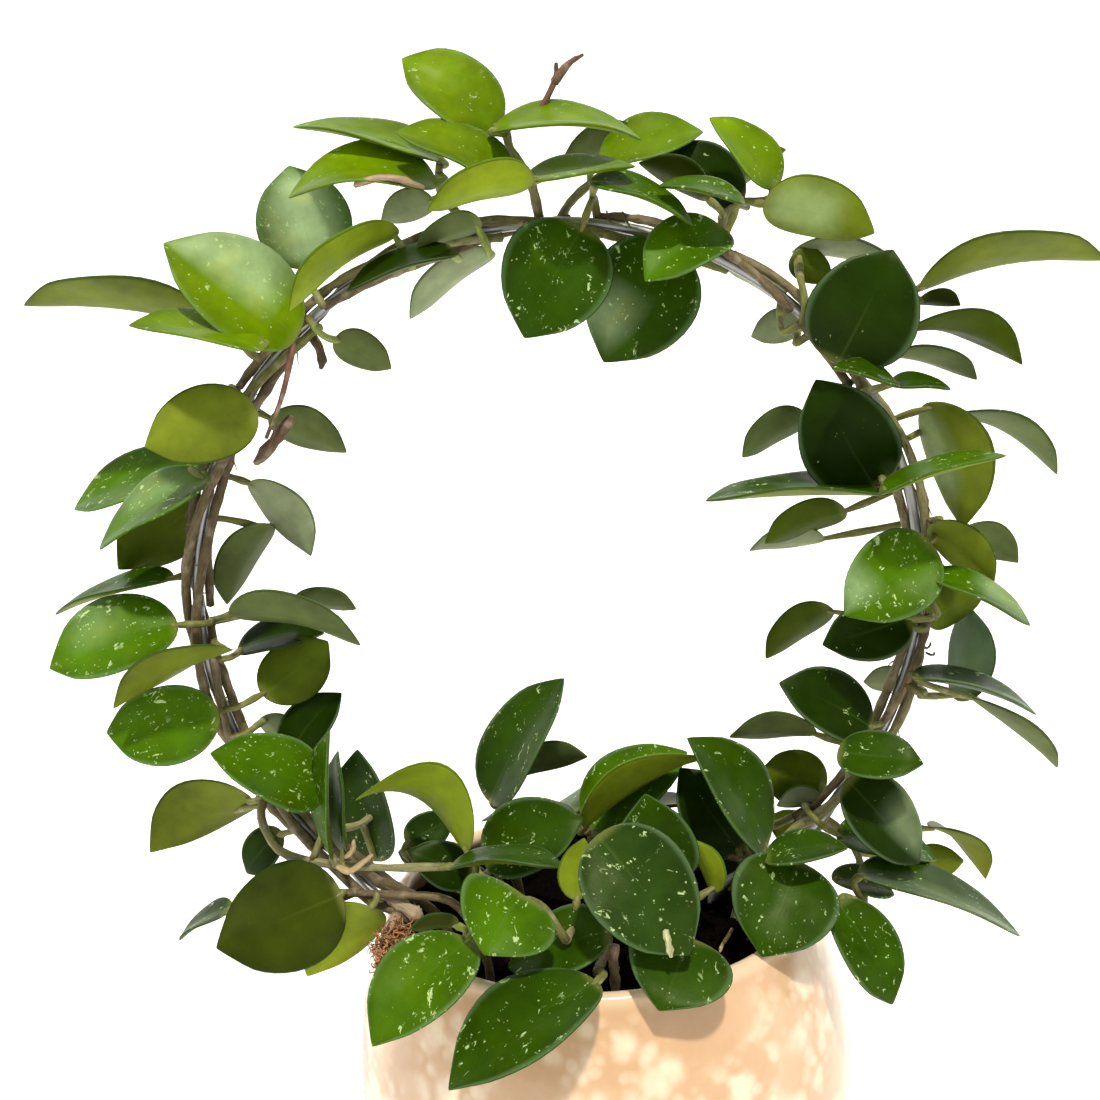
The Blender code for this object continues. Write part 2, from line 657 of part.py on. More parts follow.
            Leaf(UNDER, (68, 157.5), (41.7, 158), 7, (6, 8)),
            Leaf(UPPER, (96, 192), (70, 185), 18, (-8, -10)),
            Leaf(UNDER, (73, 196), (53, 182), 10, (8, 12)),
            Leaf(UNDER, (96, 172), (82, 173), 8, (10, 12)),
            Leaf(UPPER, (96.5, 173.5), (134, 160.5), 5, (-12, -16)),
            Leaf(UNDER, (114, 166.5), (141, 143.5), 3, (2, 2), 2),
            Leaf(UNDER, (110, 165.5), (113.5, 194.5), 14, (12, 14)),
        ],
    ),
    "shoot_right_mid": Shoot(
        [leafy_arc(32, -4)],
        [
            Leaf(UPPER, (102, 214), (76.5, 193.5), 24, (-17, -22)),
            Leaf(UNDER, (77.5, 224.5), (53.5, 216.5), 10, (6, 10)),
            Leaf(UNDER, (71, 216.5), (49, 215), 6, (16, 18)),
            Leaf(UPPER, (89, 229), (36.5, 230), 6, (-14, -18), 2),
            Leaf(UPPER, (87, 229), (123.6, 238.6), 5, (-24, -28), 3),
            Leaf(UPPER, (86, 231), (69, 263), 27, (-8, -8)),
            Leaf(UNDER, (66.5, 253), (47.5, 242), 10, (12, 14)),
            Leaf(UNDER, (101.5, 255), (111.5, 218), 18, (-2, -4)),
            Leaf(UNDER, (106, 251), (138.4, 232.3), 5, (10, 12), 12),
            Leaf(UNDER, (102, 219.5), (120.5, 200), 12, (-10, -14)),
            Leaf(UNDER, (110, 217), (127.6, 207), 11, (12, 14)),
            Leaf(UPPER, (102, 204), (131.5, 187.5), 7, (-20, -26)),
            Leaf(UNDER, (101, 190), (118, 199), 12, (8, 10)),
        ],
    ),
    "shoot_right_shoulder": Shoot(
        [
            leafy_arc(46, 33.5),
            [hoop_point(44, 0), spot(70, -8.5, 278.5), spot(82, -5, 281), spot(96, 0, 286)],
        ],
        [
            Leaf(UPPER, (75, 267), (91, 298), 30, (-14, -18)),
            Leaf(UNDER, (63, 299), (93, 291.5), 6, (14, 16)),
            Leaf(UNDER, (62.5, 297.5), (74, 290.5), 10, (10, 12)),
            Leaf(UNDER, (98, 287), (150.5, 293), 9, (-2, -4), 7),
            Leaf(UNDER, (98, 283.5), (110, 282), 5, (10, 12)),
            Leaf(UNDER, (94, 275), (127.8, 264.3), 8, (4, 4), 15),
            Leaf(UNDER, (91, 269), (115, 261), 6, (10, 12)),
            Leaf(UPPER, (92.5, 260), (73.5, 266), 4, (-21, -24)),
            Leaf(UPPER, (90, 260.5), (107.5, 258.5), 4, (-12, -14)),
            Leaf(UNDER, (66, 279.5), (50.8, 276), 10, (10, 12)),
            Leaf(UNDER, (60.5, 286), (44, 296), 7, (11, 13)),
        ],
    ),
}


def make_dead_stub(parts):
    """The cut end of a dead stem, standing in the soil just inside the lip."""
    end = rooted_end(2.5, -48)
    stub = tube("dead_stub", [*reversed(end), spot(2.8, -48.5, 118)], 1.3 * MM, parts)
    finish(stub, material("dead_stem", (0.3, 0.22, 0.15), 0.85))
    return [(end, 1.3 * MM)]


def make_root_tuft(parts):
    """A lump of dry roots over the lip at the left, cut to lie just clear of the pot."""
    sheet = bmesh.new()
    bmesh.ops.create_icosphere(sheet, subdivisions=2, radius=9 * MM)
    for vert in sheet.verts:
        x, y, z = vert.co / MM
        ripple = math.sin(1.1 * x + 0.6 * y) + math.sin(1.3 * y - 0.9 * z) + math.sin(1.2 * z + 0.7 * x)
        vert.co *= 1 + 0.07 * ripple
        if vert.co.z < 0:
            vert.co.z *= 1.7
        vert.co += spot(-59.5, -29, 109.5)
    mesh = bpy.data.meshes.new("root_tuft")
    sheet.to_mesh(mesh)
    sheet.free()
    tuft = mesh_object("root_tuft", mesh, parts)
    cutters = collection("tuft cutter", hidden=True)
    keep_out = pot_keep_out(cutters)
    cut = tuft.modifiers.new("pot", "BOOLEAN")
    cut.object = keep_out
    cut.operation = "DIFFERENCE"
    tuft = baked(tuft, parts)
    bpy.data.objects.remove(keep_out)
    return finish(tuft, material("dry_roots", (0.3, 0.16, 0.08), 0.95))


def main():
    remove_everything()
    parts = collection("potted hoya")
    make_pot(parts)
    rooted = make_wire(parts) + make_vines(parts) + make_dead_stub(parts)
    for name, shoot in SHOOTS.items():
        make_shoot(name, shoot, parts)
        first = list(shoot.stems[0])[:2]
        if first[0].z < SOIL_TOP:
            rooted.append((list(reversed(first)), VINE_RADIUS))
    make_soil(parts, rooted)
    make_root_tuft(parts)


main()
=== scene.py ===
"""Looks for a hoya trained round a wire hoop in a glazed pot.

Metres, +Z up, front towards -Y. The leaves, petioles and stems follow the same list as the
model's solids, with fine surfaces: where a leaf's base and tip show on the hoop's plane, in
millimetres, from the viewpoint, with their depth behind (+) or in front of (-) that plane. The
places were read from a photograph and turned into millimetres through a camera fitted to it.
"""

import json
import math
from collections import namedtuple

import bpy
import numpy as np
from mathutils import Matrix, Vector, noise

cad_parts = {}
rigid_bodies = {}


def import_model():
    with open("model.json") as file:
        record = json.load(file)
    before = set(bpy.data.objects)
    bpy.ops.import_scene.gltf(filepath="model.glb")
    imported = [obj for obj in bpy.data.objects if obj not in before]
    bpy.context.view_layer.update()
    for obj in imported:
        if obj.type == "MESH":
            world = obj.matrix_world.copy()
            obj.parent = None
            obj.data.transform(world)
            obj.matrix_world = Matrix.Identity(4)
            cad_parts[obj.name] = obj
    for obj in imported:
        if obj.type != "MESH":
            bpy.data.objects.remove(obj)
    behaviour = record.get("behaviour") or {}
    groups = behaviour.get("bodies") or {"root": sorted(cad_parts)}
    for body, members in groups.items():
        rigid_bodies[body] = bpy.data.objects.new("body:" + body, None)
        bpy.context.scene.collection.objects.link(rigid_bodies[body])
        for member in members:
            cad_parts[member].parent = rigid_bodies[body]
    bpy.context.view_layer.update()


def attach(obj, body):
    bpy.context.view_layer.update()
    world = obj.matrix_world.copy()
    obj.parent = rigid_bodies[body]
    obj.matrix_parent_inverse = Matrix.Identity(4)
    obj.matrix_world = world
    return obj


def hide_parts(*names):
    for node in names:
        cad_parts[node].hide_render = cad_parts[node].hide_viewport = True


MM = 0.001
GAP = 0.3 * MM
VIEWPOINT = Vector((-8.97, -371.09, 289.92)) * MM
CAMERA_PITCH = math.radians(11)
CAMERA_ROLL = math.radians(3)
FOCAL_PIXELS = 1300
FRAME_PIXELS = 1100

POT_HEIGHT = 112 * MM
POT_BELLY_RADIUS = 75.5 * MM
POT_BELLY_HEIGHT = 57 * MM
POT_FOOT_RADIUS = 46 * MM
POT_RIM_RADIUS = 63 * MM
POT_WALL = 5 * MM
SOIL_TOP = 104 * MM
SOIL_RISE = 1.5 * MM
ROOTED_DEPTH = 22 * MM

HOOP_CENTRE = Vector((-6.9, 0, 204.7)) * MM
HOOP_RADIUS = 105.5 * MM
WIRE_RADIUS = 1.6 * MM
VINE_RADIUS = 1.4 * MM
STRAND_OFFSET = WIRE_RADIUS + VINE_RADIUS + GAP
STRANDS = 4
TURNS_ROUND_HOOP = 5
ARC_STEP = 5

LEAF_THICKNESS = 1.5 * MM
LEAF_WIDTH_TO_LENGTH = 0.68
LEAF_CUP = 0.07
LEAF_ROWS = 22
LEAF_AROUND = 24
PETIOLE_RADIUS = 1.05 * MM
PETIOLE_REACH = 8 * MM
PETIOLE_SUNK = 1.7 * MM
PETIOLE_LIFT = 0.4 * MM
BUNDLE_RADIUS = 7 * MM

UPPER, UNDER = 1, -1
# sheen holds (which half, start, end, strength) of a pale patch painted over a blade as a painted reflection.
Leaf = namedtuple("Leaf", "look side base tip width depth arch sheen", defaults=(6, None))
Shoot = namedtuple("Shoot", "stems leaves slot bare", defaults=("leaf", ()))
Look = namedtuple("Look", "upper under flecks")

LOOKS = {
    "young": Look((0.115, 0.205, 0.0), (0.2, 0.3, 0.008), 0.4),
    "bright": Look((0.05, 0.125, 0.0), (0.15, 0.22, 0.012), 0.75),
    "mid": Look((0.022, 0.06, 0.0), (0.13, 0.175, 0.018), 0.6),
    # The dark look's colours stand for dark leaves seen in shade: partly the leaves' own colour, partly
    # painted shade.
    "dark": Look((0.009, 0.024, 0.0), (0.07, 0.1, 0.014), 0.0),
    "bluish": Look((0.018, 0.044, 0.004), (0.06, 0.1, 0.05), 0.6),
    "olive": Look((0.03, 0.07, 0.0), (0.13, 0.168, 0.012), 0.15),
    "deep_olive": Look((0.018, 0.05, 0.0), (0.032, 0.048, 0.001), 0.3),
    "lime": Look((0.08, 0.18, 0.0), (0.2, 0.27, 0.012), 0.25),
    "moss": Look((0.02, 0.06, 0.0), (0.068, 0.1, 0.004), 0.15),
    "grey": Look((0.03, 0.08, 0.004), (0.12, 0.155, 0.05), 0.15),
    "pale": Look((0.04, 0.11, 0.006), (0.28, 0.33, 0.18), 0.2),
}
BARK = (0.1, 0.07, 0.038)
GREEN_STEM = (0.2, 0.21, 0.055)
TAN_STEM = (0.2, 0.155, 0.08)
KHAKI_STEM = (0.26, 0.25, 0.11)
RED_STEM = (0.2, 0.09, 0.06)
DEAD_STEM = (0.13, 0.08, 0.045)
DRY_BRACT = (0.5, 0.38, 0.2)
PALE_SCAR = (0.5, 0.52, 0.28)
SCORCHED = (0.5, 0.34, 0.22)
DRY_ROOT = (0.36, 0.17, 0.07)
YOUNG_PETIOLE = (0.24, 0.3, 0.06)
# Painted sheen: the pale colour laid over parts of some blades, standing for a reflection.
PAINTED_SHEEN = (0.48, 0.64, 0.36)
FLECK = (0.48, 0.64, 0.28)
# Painted rim colours: a pale band standing for a highlight on the rim's upper side, and a dark line standing
# for shade along the underside's rim.
PAINTED_RIM_HIGHLIGHT = (0.26, 0.42, 0.2)
PAINTED_RIM_SHADE = (0.02, 0.04, 0.003)
GLAZE = ((0.6, 0.37, 0.2), (0.7, 0.46, 0.28))
GLAZED_LIP = (0.85, 0.62, 0.42)
GLAZE_SPOT = (0.93, 0.78, 0.58)
PEAT = (0.0035, 0.0025, 0.002)
PEAT_CRUMB = (0.009, 0.006, 0.004)
CRUMBS = 900
DRY_ROOTS = 900
HAIR_ROOTS = 14
SUN_POWER = 2.9
WINDOW_POWER = 2
WORLD_STRENGTH = 0.5


def seen_at(x, z, depth):
    """The point at this depth that shows at (x, z) on the hoop's plane from the viewpoint, in metres."""
    on_plane = Vector((x, 0, z)) * MM
    nearness = (depth * MM - VIEWPOINT.y) / -VIEWPOINT.y
    return VIEWPOINT + (on_plane - VIEWPOINT) * nearness


def spot(x, y, z):
    return Vector((x, y, z)) * MM


def hoop_point(angle, strand=None):
    """A point on the wire, or on a strand wound round it, at degrees from the right, up over the top."""
    turn = math.radians(angle)
    outward = Vector((math.cos(turn), 0, math.sin(turn)))
    place = HOOP_CENTRE + outward * HOOP_RADIUS
    if strand is None:
        return place
    wind = math.radians(angle * TURNS_ROUND_HOOP + 360 * strand / STRANDS)
    return place + STRAND_OFFSET * (math.cos(wind) * outward + math.sin(wind) * Vector((0, 1, 0)))


def hoop_arc(start, end, strand=None):
    count = max(2, round(abs(end - start) / ARC_STEP))
    return [hoop_point(start + (end - start) * n / count, strand) for n in range(count + 1)]


def leafy_arc(start, end):
    return hoop_arc(start, end, strand=0)


def rooted_end(x, y, lean=(0, 0)):
    """Where a stem enters the soil at (x, y) and where it ends in it, as the last two points of its path."""
    entry = Vector((x, y, 0)) * MM + Vector((0, 0, SOIL_TOP + 4 * MM))
    foot = entry + Vector((*lean, 0)) * MM - Vector((0, 0, ROOTED_DEPTH))
    return [entry, foot]


def smooth_path(points, per_span=4):
    """A Catmull-Rom curve through the points."""
    ends = [2 * points[0] - points[1], *points, 2 * points[-1] - points[-2]]
    path = []
    for a, b, c, d in zip(ends, ends[1:], ends[2:], ends[3:]):
        for step in range(per_span):
            t = step / per_span
            path.append(
                0.5 * (2 * b + (c - a) * t + (2 * a - 5 * b + 4 * c - d) * t**2)
                + 0.5 * (3 * b - a - 3 * c + d) * t**3
            )
    return [*path, points[-1]]


def leaf_frame(leaf):
    """Base, tip, face normal and blade width of a leaf, worked out from how it shows."""
    base = seen_at(*leaf.base, leaf.depth[0])
    tip = seen_at(*leaf.tip, leaf.depth[1])
    axis = (tip - base).normalized()
    shown = leaf.width * MM
    width = max(shown, LEAF_WIDTH_TO_LENGTH * (tip - base).length)
    middle = (base + tip) / 2
    to_eye = (VIEWPOINT - middle).normalized()
    facing = (to_eye - axis * to_eye.dot(axis)).normalized()
    sky = facing.cross(axis)
    outward = (middle - HOOP_CENTRE).normalized()
    if sky.dot(Vector((0, 0, 1)) + 0.6 * outward) < 0:
        sky = -sky
    cosine = min(1, shown / width)
    normal = leaf.side * cosine * facing + math.sqrt(1 - cosine**2) * sky
    return base, tip, normal.normalized(), width


def blade_half_width(along):
    """The leaf's outline: an oval with a short pointed tip. 1 at its widest."""
    nearing = np.clip((along - 0.78) / 0.22, 0, 1)
    return 2.25 * along**0.5 * (1 - along) ** (0.69 + 0.13 * nearing**2 * (3 - 2 * nearing))


def half_turn(angle):
    """The same angle between -180 and 180 degrees, in radians."""
    return (angle + math.pi) % (2 * math.pi) - math.pi


def round_the_wire(place):
    """A place's angle along the hoop, its distance from the wire and its angle round the wire."""
    arm = place - HOOP_CENTRE
    rise = math.hypot(arm.x, arm.z) - HOOP_RADIUS
    return math.atan2(arm.z, arm.x), math.hypot(rise, arm.y), math.atan2(arm.y, rise)


def petiole_path(start, leaf):
    """From the stem out beside it and round the bundle of stems, then into the blade's base."""
    base, tip, normal, _ = leaf_frame(leaf)
    along = (tip - base).normalized()
    inside = base + along * PETIOLE_SUNK + normal * PETIOLE_LIFT
    angle, distance, way = round_the_wire(start)
    end_angle, end_distance, end_way = round_the_wire(base)
    if distance > BUNDLE_RADIUS or end_distance < BUNDLE_RADIUS:
        reach = (base - start).length
        bend = start.lerp(base, 0.6) - along * min(PETIOLE_REACH, reach) * 0.25
        return [start, bend, inside] if reach > 4 * MM else [start, inside]
    sweep = half_turn(end_way - way)
    climb = half_turn(end_angle - angle)
    bends = round(abs(sweep) / math.radians(75))
    path = [start]
    for n in range(1, bends + 1):
        part = n / (bends + 1)
        turn = angle + climb * part
        round_wire = way + sweep * part
        outward = Vector((math.cos(turn), 0, math.sin(turn)))
        ring = HOOP_CENTRE + outward * (HOOP_RADIUS + BUNDLE_RADIUS * math.cos(round_wire))
        path.append(ring + Vector((0, BUNDLE_RADIUS * math.sin(round_wire), 0)))
    return [*path, inside]


def nearest(points, place):
    return min(points, key=lambda point: (point - place).length)


class Skin:
    """Points and faces of one piece, with what its materials read at each point.

    shade is the colour, place is a position in millimetres over the surface with a random third
    number, and trait holds how near a leaf's edge is, 1 on its underside, and its share of flecks.
    """

    MARKS = {
        "shade": ("FLOAT_COLOR", "color"),
        "place": ("FLOAT_VECTOR", "vector"),
        "trait": ("FLOAT_VECTOR", "vector"),
    }

    def __init__(self, seed):
        self.random = np.random.default_rng(seed)
        self.points = []
        self.count = 0
        self.faces = []
        self.slots = []
        self.marks = {name: [] for name in self.MARKS}

    def loft(self, rings, shade, place, trait, slot=0):
        """A closed skin over rings of shape (rows, around, 3) whose first and last are single points."""
        rows, around, _ = rings.shape
        first = self.count

        def flat(values):
            values = np.broadcast_to(values, (rows, around, np.shape(values)[-1]))
            inner = values[1:-1].reshape(-1, values.shape[-1])
            return np.concatenate([values[0, :1], inner, values[-1, :1]])

        points = flat(rings)
        column = np.arange(around)
        after = (column + 1) % around
        ring = first + 1
        faces = [(first, ring + b, ring + a) for a, b in zip(column, after)]
        for row in range(rows - 3):
            low = ring + row * around
            high = low + around
            faces += [(low + a, low + b, high + b, high + a) for a, b in zip(column, after)]
        low = ring + (rows - 3) * around
        last = first + len(points) - 1
        faces += [(low + a, low + b, last) for a, b in zip(column, after)]
        middle = rings[1] - rings[1].mean(0)
        turning = np.cross(middle, np.roll(middle, -1, axis=0)).sum(0)
        if turning @ (rings[-1, 0] - rings[0, 0]) < 0:
            faces = [tuple(reversed(face)) for face in faces]
        self.points.append(points)
        self.count += len(points)
        self.faces += faces
        self.slots += [slot] * len(faces)
        for name, values in (("shade", shade), ("place", place), ("trait", trait)):
            self.marks[name].append(flat(np.asarray(values, float)))

    def tube(self, path, radii, shades, slot=0, sides=8, roughness=0.0):
        """A round stem along the path, with a radius and a colour for each point and rounded ends."""
        path = np.array([tuple(point) for point in path])
        count = len(path)
        given = np.atleast_1d(radii)
        radii = np.interp(np.linspace(0, 1, count), np.linspace(0, 1, len(given)), given)
        steps = np.diff(path, axis=0)
        tangents = np.concatenate([steps[:1], (steps[1:] + steps[:-1]) / 2, steps[-1:]])
        tangents /= np.linalg.norm(tangents, axis=1)[:, None]
        side = np.cross(tangents[0], (0.3, 0.5, 0.81))
        frames = []
        for tangent in tangents:
            side = side - tangent * (side @ tangent)
            side /= np.linalg.norm(side)
            frames.append((side, np.cross(tangent, side)))
        angles = np.linspace(0, 2 * math.pi, sides, endpoint=False)
        rings = []
        for point, radius, (u, v) in zip(path, radii, frames):
            spoke = np.cos(angles)[:, None] * u + np.sin(angles)[:, None] * v
            uneven = 1 + roughness * self.random.normal(size=(sides, 1))
            rings.append(point + spoke * radius * uneven)
        ends = [path[0] - tangents[0] * radii[0] * 0.5, path[-1] + tangents[-1] * radii[-1] * 0.5]
        rings = np.array([np.tile(ends[0], (sides, 1)), *rings, np.tile(ends[1], (sides, 1))])
        run = np.concatenate([[0, 0], np.cumsum(np.linalg.norm(steps, axis=1)), [0]])
        run[-1] = run[-2]
        place = np.zeros((count + 2, sides, 3))
        place[..., 0] = angles * radii.mean() / MM
        place[..., 1] = run[:, None] / MM
        place[..., 2] = self.random.uniform(0, 500)
        shades = np.asarray(shades, float).reshape(-1, 3)
        part = np.linspace(0, 1, count + 2)
        keys = np.linspace(0, 1, len(shades))
        shade = np.ones((count + 2, sides, 4))
        for channel in range(3):
            shade[..., channel] = np.interp(part, keys, shades[:, channel])[:, None]
        self.loft(rings, shade, place, (0, 0, 0), slot)

    def leaf(self, leaf):
        """A thick blade with a rounded rim, cupped, creased along its middle and a little uneven."""
        base, tip, normal, width = leaf_frame(leaf)
        look = LOOKS[leaf.look]
        axis = tip - base
        length = axis.length
        across = np.array(normal.cross(axis.normalized()))
        base, axis, normal = np.array(base), np.array(axis), np.array(normal)
        bend, wave, phase, droop = self.random.uniform((-0.03, 0.03, 0, 0.0), (0.03, 0.09, 6.3, 0.05))
        along = ((1 - np.cos(math.pi * np.linspace(0, 1, LEAF_ROWS))) / 2)[:, None]
        spread = blade_half_width(along)
        turn = np.linspace(0, 2 * math.pi, LEAF_AROUND, endpoint=False)[None, :]
        side = np.sign(np.cos(turn)) * np.abs(np.cos(turn)) ** 0.9
        half = spread * width / 2
        plump = LEAF_THICKNESS / 2 * np.sqrt(np.clip(1 - (2 * along - 1) ** 6, 0, 1))
        height = np.sign(np.sin(turn)) * np.abs(np.sin(turn)) ** 0.6 * plump
        lift = leaf.arch / 100 * length * 4 * along * (1 - along)
        lift = lift + LEAF_CUP * width * ((side * spread) ** 2 * 0.4 + np.abs(side) * spread * 1.1)
        lift = lift + wave * half * side * np.abs(side) * np.sin(5.5 * along + phase)
        lift = lift - droop * length * np.clip(along - 0.75, 0, 1) ** 2 * 8
        sideways = side * half + bend * length * 4 * along * (1 - along)
        rings = base + axis * along[..., None] + across * sideways[..., None]
        rings = rings + normal * (lift + height)[..., None]
        place = np.stack(
            np.broadcast_arrays(side * half / MM, along * length / MM, self.random.uniform(0, 900)), axis=-1
        )
        under = (np.sin(turn) < -0.05) * np.ones_like(along)
        trait = np.stack(np.broadcast_arrays(np.abs(side) * np.ones_like(along), under, look.flecks), axis=-1)
        tone = self.random.uniform(0.88, 1.12)
        shade = np.ones((LEAF_ROWS, LEAF_AROUND, 4))
        shade[..., :3] = np.where(under[..., None] > 0.5, look.under, look.upper) * tone
        # Painted sheen: a pale patch painted over one half or the middle of the seen face, standing for a
        # reflection.
        if leaf.sheen:
            half, start, end, strength = leaf.sheen
            reach = np.clip(np.minimum(along - start, end - along) * 5 + 0.3, 0, 1)
            painted_sheen_patch = reach * (np.clip(0.5 + half * side * 3, 0, 1) if half else 1 - side**2) * strength
            painted_sheen_patch = painted_sheen_patch * (under > 0.5 if leaf.side == UNDER else under < 0.5)
            shade[..., :3] += (np.array(PAINTED_SHEEN) - shade[..., :3]) * painted_sheen_patch[..., None]
        self.loft(rings, shade, place, trait)

    def made(self, name, materials, replaced, slot):
        """The piece as an object that rides on the part and stands for the replaced nodes."""
        mesh = bpy.data.meshes.new(name)
        faces = [list(map(int, face)) for face in self.faces]
        mesh.from_pydata(np.concatenate(self.points).tolist(), [], faces)
        for mark, (kind, key) in self.MARKS.items():
            attribute = mesh.attributes.new(mark, kind, "POINT")
            attribute.data.foreach_set(key, np.concatenate(self.marks[mark]).astype(np.float32).ravel())
        for material in materials:
            mesh.materials.append(material)
        mesh.polygons.foreach_set("material_index", self.slots)
        mesh.shade_smooth()
        piece = bpy.data.objects.new(name, mesh)
        bpy.context.scene.collection.objects.link(piece)
        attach(piece, "root")
        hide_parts(*replaced)


class Signal:
    """A socket in a material that ordinary arithmetic works on."""

    def __init__(self, graph, socket):
        self.graph = graph
        self.socket = socket

    def maths(self, operation, *values):
        made = self.graph.node("Math", dict(enumerate(values)), operation=operation)
        return Signal(self.graph, made.outputs[0])

    def __add__(self, other):
        return self.maths("ADD", self, other)

    def __sub__(self, other):
        return self.maths("SUBTRACT", self, other)

    def __rsub__(self, other):
        return self.maths("SUBTRACT", other, self)

    def __mul__(self, other):
        return self.maths("MULTIPLY", self, other)

    __radd__ = __add__
    __rmul__ = __mul__

    def step(self, low, high):
        """0 below low, 1 above high and smooth between them; low may be the larger."""
        inputs = {"Value": self, "From Min": low, "From Max": high}
        made = self.graph.node("MapRange", inputs, interpolation_type="SMOOTHSTEP")
        return Signal(self.graph, made.outputs["Result"])


class Graph:
    """A material's node tree round its Principled shader."""

    def __init__(self, name, **constants):
        self.material = bpy.data.materials.new(name)
        self.material.use_nodes = True
        self.tree = self.material.node_tree
        self.shader = self.tree.nodes["Principled BSDF"]
        for socket, value in constants.items():
            self.shader.inputs[socket.replace("_", " ")].default_value = value

    def node(self, kind, inputs=(), **settings):
        made = self.tree.nodes.new("ShaderNode" + kind)
        for key, value in settings.items():
            setattr(made, key, value)
        for key, value in dict(inputs).items():
            self.feed(made.inputs[key], value)
        return made

    def feed(self, socket, value):
        if isinstance(value, Signal):
            self.tree.links.new(value.socket, socket)
        elif socket.type == "RGBA" and len(value) == 3:
            socket.default_value = (*value, 1)
        else:
            socket.default_value = value

    def mark(self, name, output="Vector"):
        return Signal(self, self.node("Attribute", attribute_name=name).outputs[output])

    def split(self, vector):
        made = self.node("SeparateXYZ", {"Vector": vector})
        return [Signal(self, socket) for socket in made.outputs]

    def joined(self, x, y, z):
        return Signal(self, self.node("CombineXYZ", {"X": x, "Y": y, "Z": z}).outputs["Vector"])

    def where(self):
        return Signal(self, self.node("TexCoord").outputs["Object"])

    def noise(self, vector, scale, detail=2.0, roughness=0.5, distortion=0.0):
        inputs = {"Vector": vector, "Scale": scale, "Detail": detail}
        inputs.update(Roughness=roughness, Distortion=distortion)
        return Signal(self, self.node("TexNoise", inputs).outputs["Fac"])

    def cells(self, vector, scale):
        """The distance to the nearest of many scattered points."""
        made = self.node("TexVoronoi", {"Vector": vector, "Scale": scale, "Randomness": 1.0})
        return Signal(self, made.outputs["Distance"])

    def mix(self, part, first, second, blend="MIX"):
        """second laid over first by the part, as colours."""
        made = self.node("Mix", data_type="RGBA", blend_type=blend)
        for socket, value in zip([made.inputs[0], made.inputs[6], made.inputs[7]], [part, first, second]):
            self.feed(socket, value)
        return Signal(self, made.outputs[2])

    def grey(self, value):
        return self.joined(value, value, value)

    def finish(self, colour, roughness=None, height=None, depth=1.0):
        """Links colour, roughness and a bump whose height is in millimetres."""
        self.feed(self.shader.inputs["Base Color"], colour)
        if roughness is not None:
            self.feed(self.shader.inputs["Roughness"], roughness)
        if height is not None:
            bump = self.node("Bump", {"Height": height, "Strength": depth, "Distance": MM})
            self.tree.links.new(bump.outputs["Normal"], self.shader.inputs["Normal"])
        return self.material


def leaf_material():
    """Waxy leaves: mottled green with soft silver flecks above, matte and paler below, with a thin rim
    painted pale as a highlight above and dark as shade below.
    """
    g = Graph("hoya_leaf", Specular_IOR_Level=0.1, Specular_Tint=(0.85, 1, 0.6, 1))
    shade = g.mark("shade", "Color")
    place = g.mark("place")
    across, along, seed = g.split(place)
    edge, under, flecks = g.split(g.mark("trait"))
    upper = 1 - under
    mottle = g.noise(place, 0.16, detail=4, roughness=0.6)
    broad = g.noise(place, 0.055, detail=1)
    near_rim = edge.step(0.35, 0.95)
    colour = g.mix(1.0, shade, g.grey(mottle * 0.8 + broad * 0.8 + 0.26 - near_rim * 0.2), blend="MULTIPLY")
    warm = g.noise(place, 0.09, detail=2).step(0.45, 0.75) * (upper * 0.45 + 0.15)
    colour = g.mix(warm, colour, (1.3, 1.06, 0.7), blend="MULTIPLY")
    vein = (across * across).step(0.25, 0.0) * along.step(26, 4) * 0.1
    colour = g.mix(vein, colour, (0.14, 0.25, 0.05))
    slanted = g.joined(across * 0.95 - along * 0.55, along * 0.6 + across * 0.5, seed)
    clusters = g.noise(place, 0.13, detail=1)
    streaks = g.noise(slanted, 0.5, detail=3, roughness=0.7, distortion=0.6)
    streaks = streaks.step(0.6, 0.65) * clusters.step(0.66 - flecks * 0.24, 0.72 - flecks * 0.24)
    blots = g.noise(slanted, 0.26, detail=4, roughness=0.68, distortion=0.5)
    blots = blots.step(0.735 - flecks * 0.11, 0.76 - flecks * 0.11)
    specks = g.cells(place, 0.6).step(0.2, 0.12)
    specks = specks * g.noise(place, 0.22, detail=1).step(0.64 - flecks * 0.2, 0.7 - flecks * 0.2)
    faint = g.noise(place, 0.35, detail=1).step(0.35, 0.6) * 0.6 + 0.3
    fleck = (streaks * faint + blots + specks * 0.8 * faint) * (upper * 0.9 + 0.1)
    colour = g.mix(fleck.step(0.0, 0.95) * 0.85, colour, FLECK)
    # Painted highlight: a thin pale band just inside the rim of the upper face.
    rim_highlight = edge.step(0.84, 0.97) * edge.step(1.0, 0.97) * upper * 0.2
    colour = g.mix(rim_highlight, colour, PAINTED_RIM_HIGHLIGHT)
    # Painted shade: a thin dark line along the rim of the underside.
    colour = g.mix(edge.step(0.93, 0.97) * under * 0.7, colour, PAINTED_RIM_SHADE)
    stalk_end = along.step(3.0, 0.5) * 0.5
    colour = g.mix(stalk_end, colour, (0.2, 0.22, 0.06))
    roughness = under * 0.16 + mottle * 0.2 + fleck * 0.2 + 0.3
    dimples = g.noise(place, 1.4, detail=3)
    ripple = g.noise(place, 0.09, detail=1)
    height = dimples * 0.06 + ripple * 1.8 - vein * 0.4
    return g.finish(colour, roughness, height, 0.6)


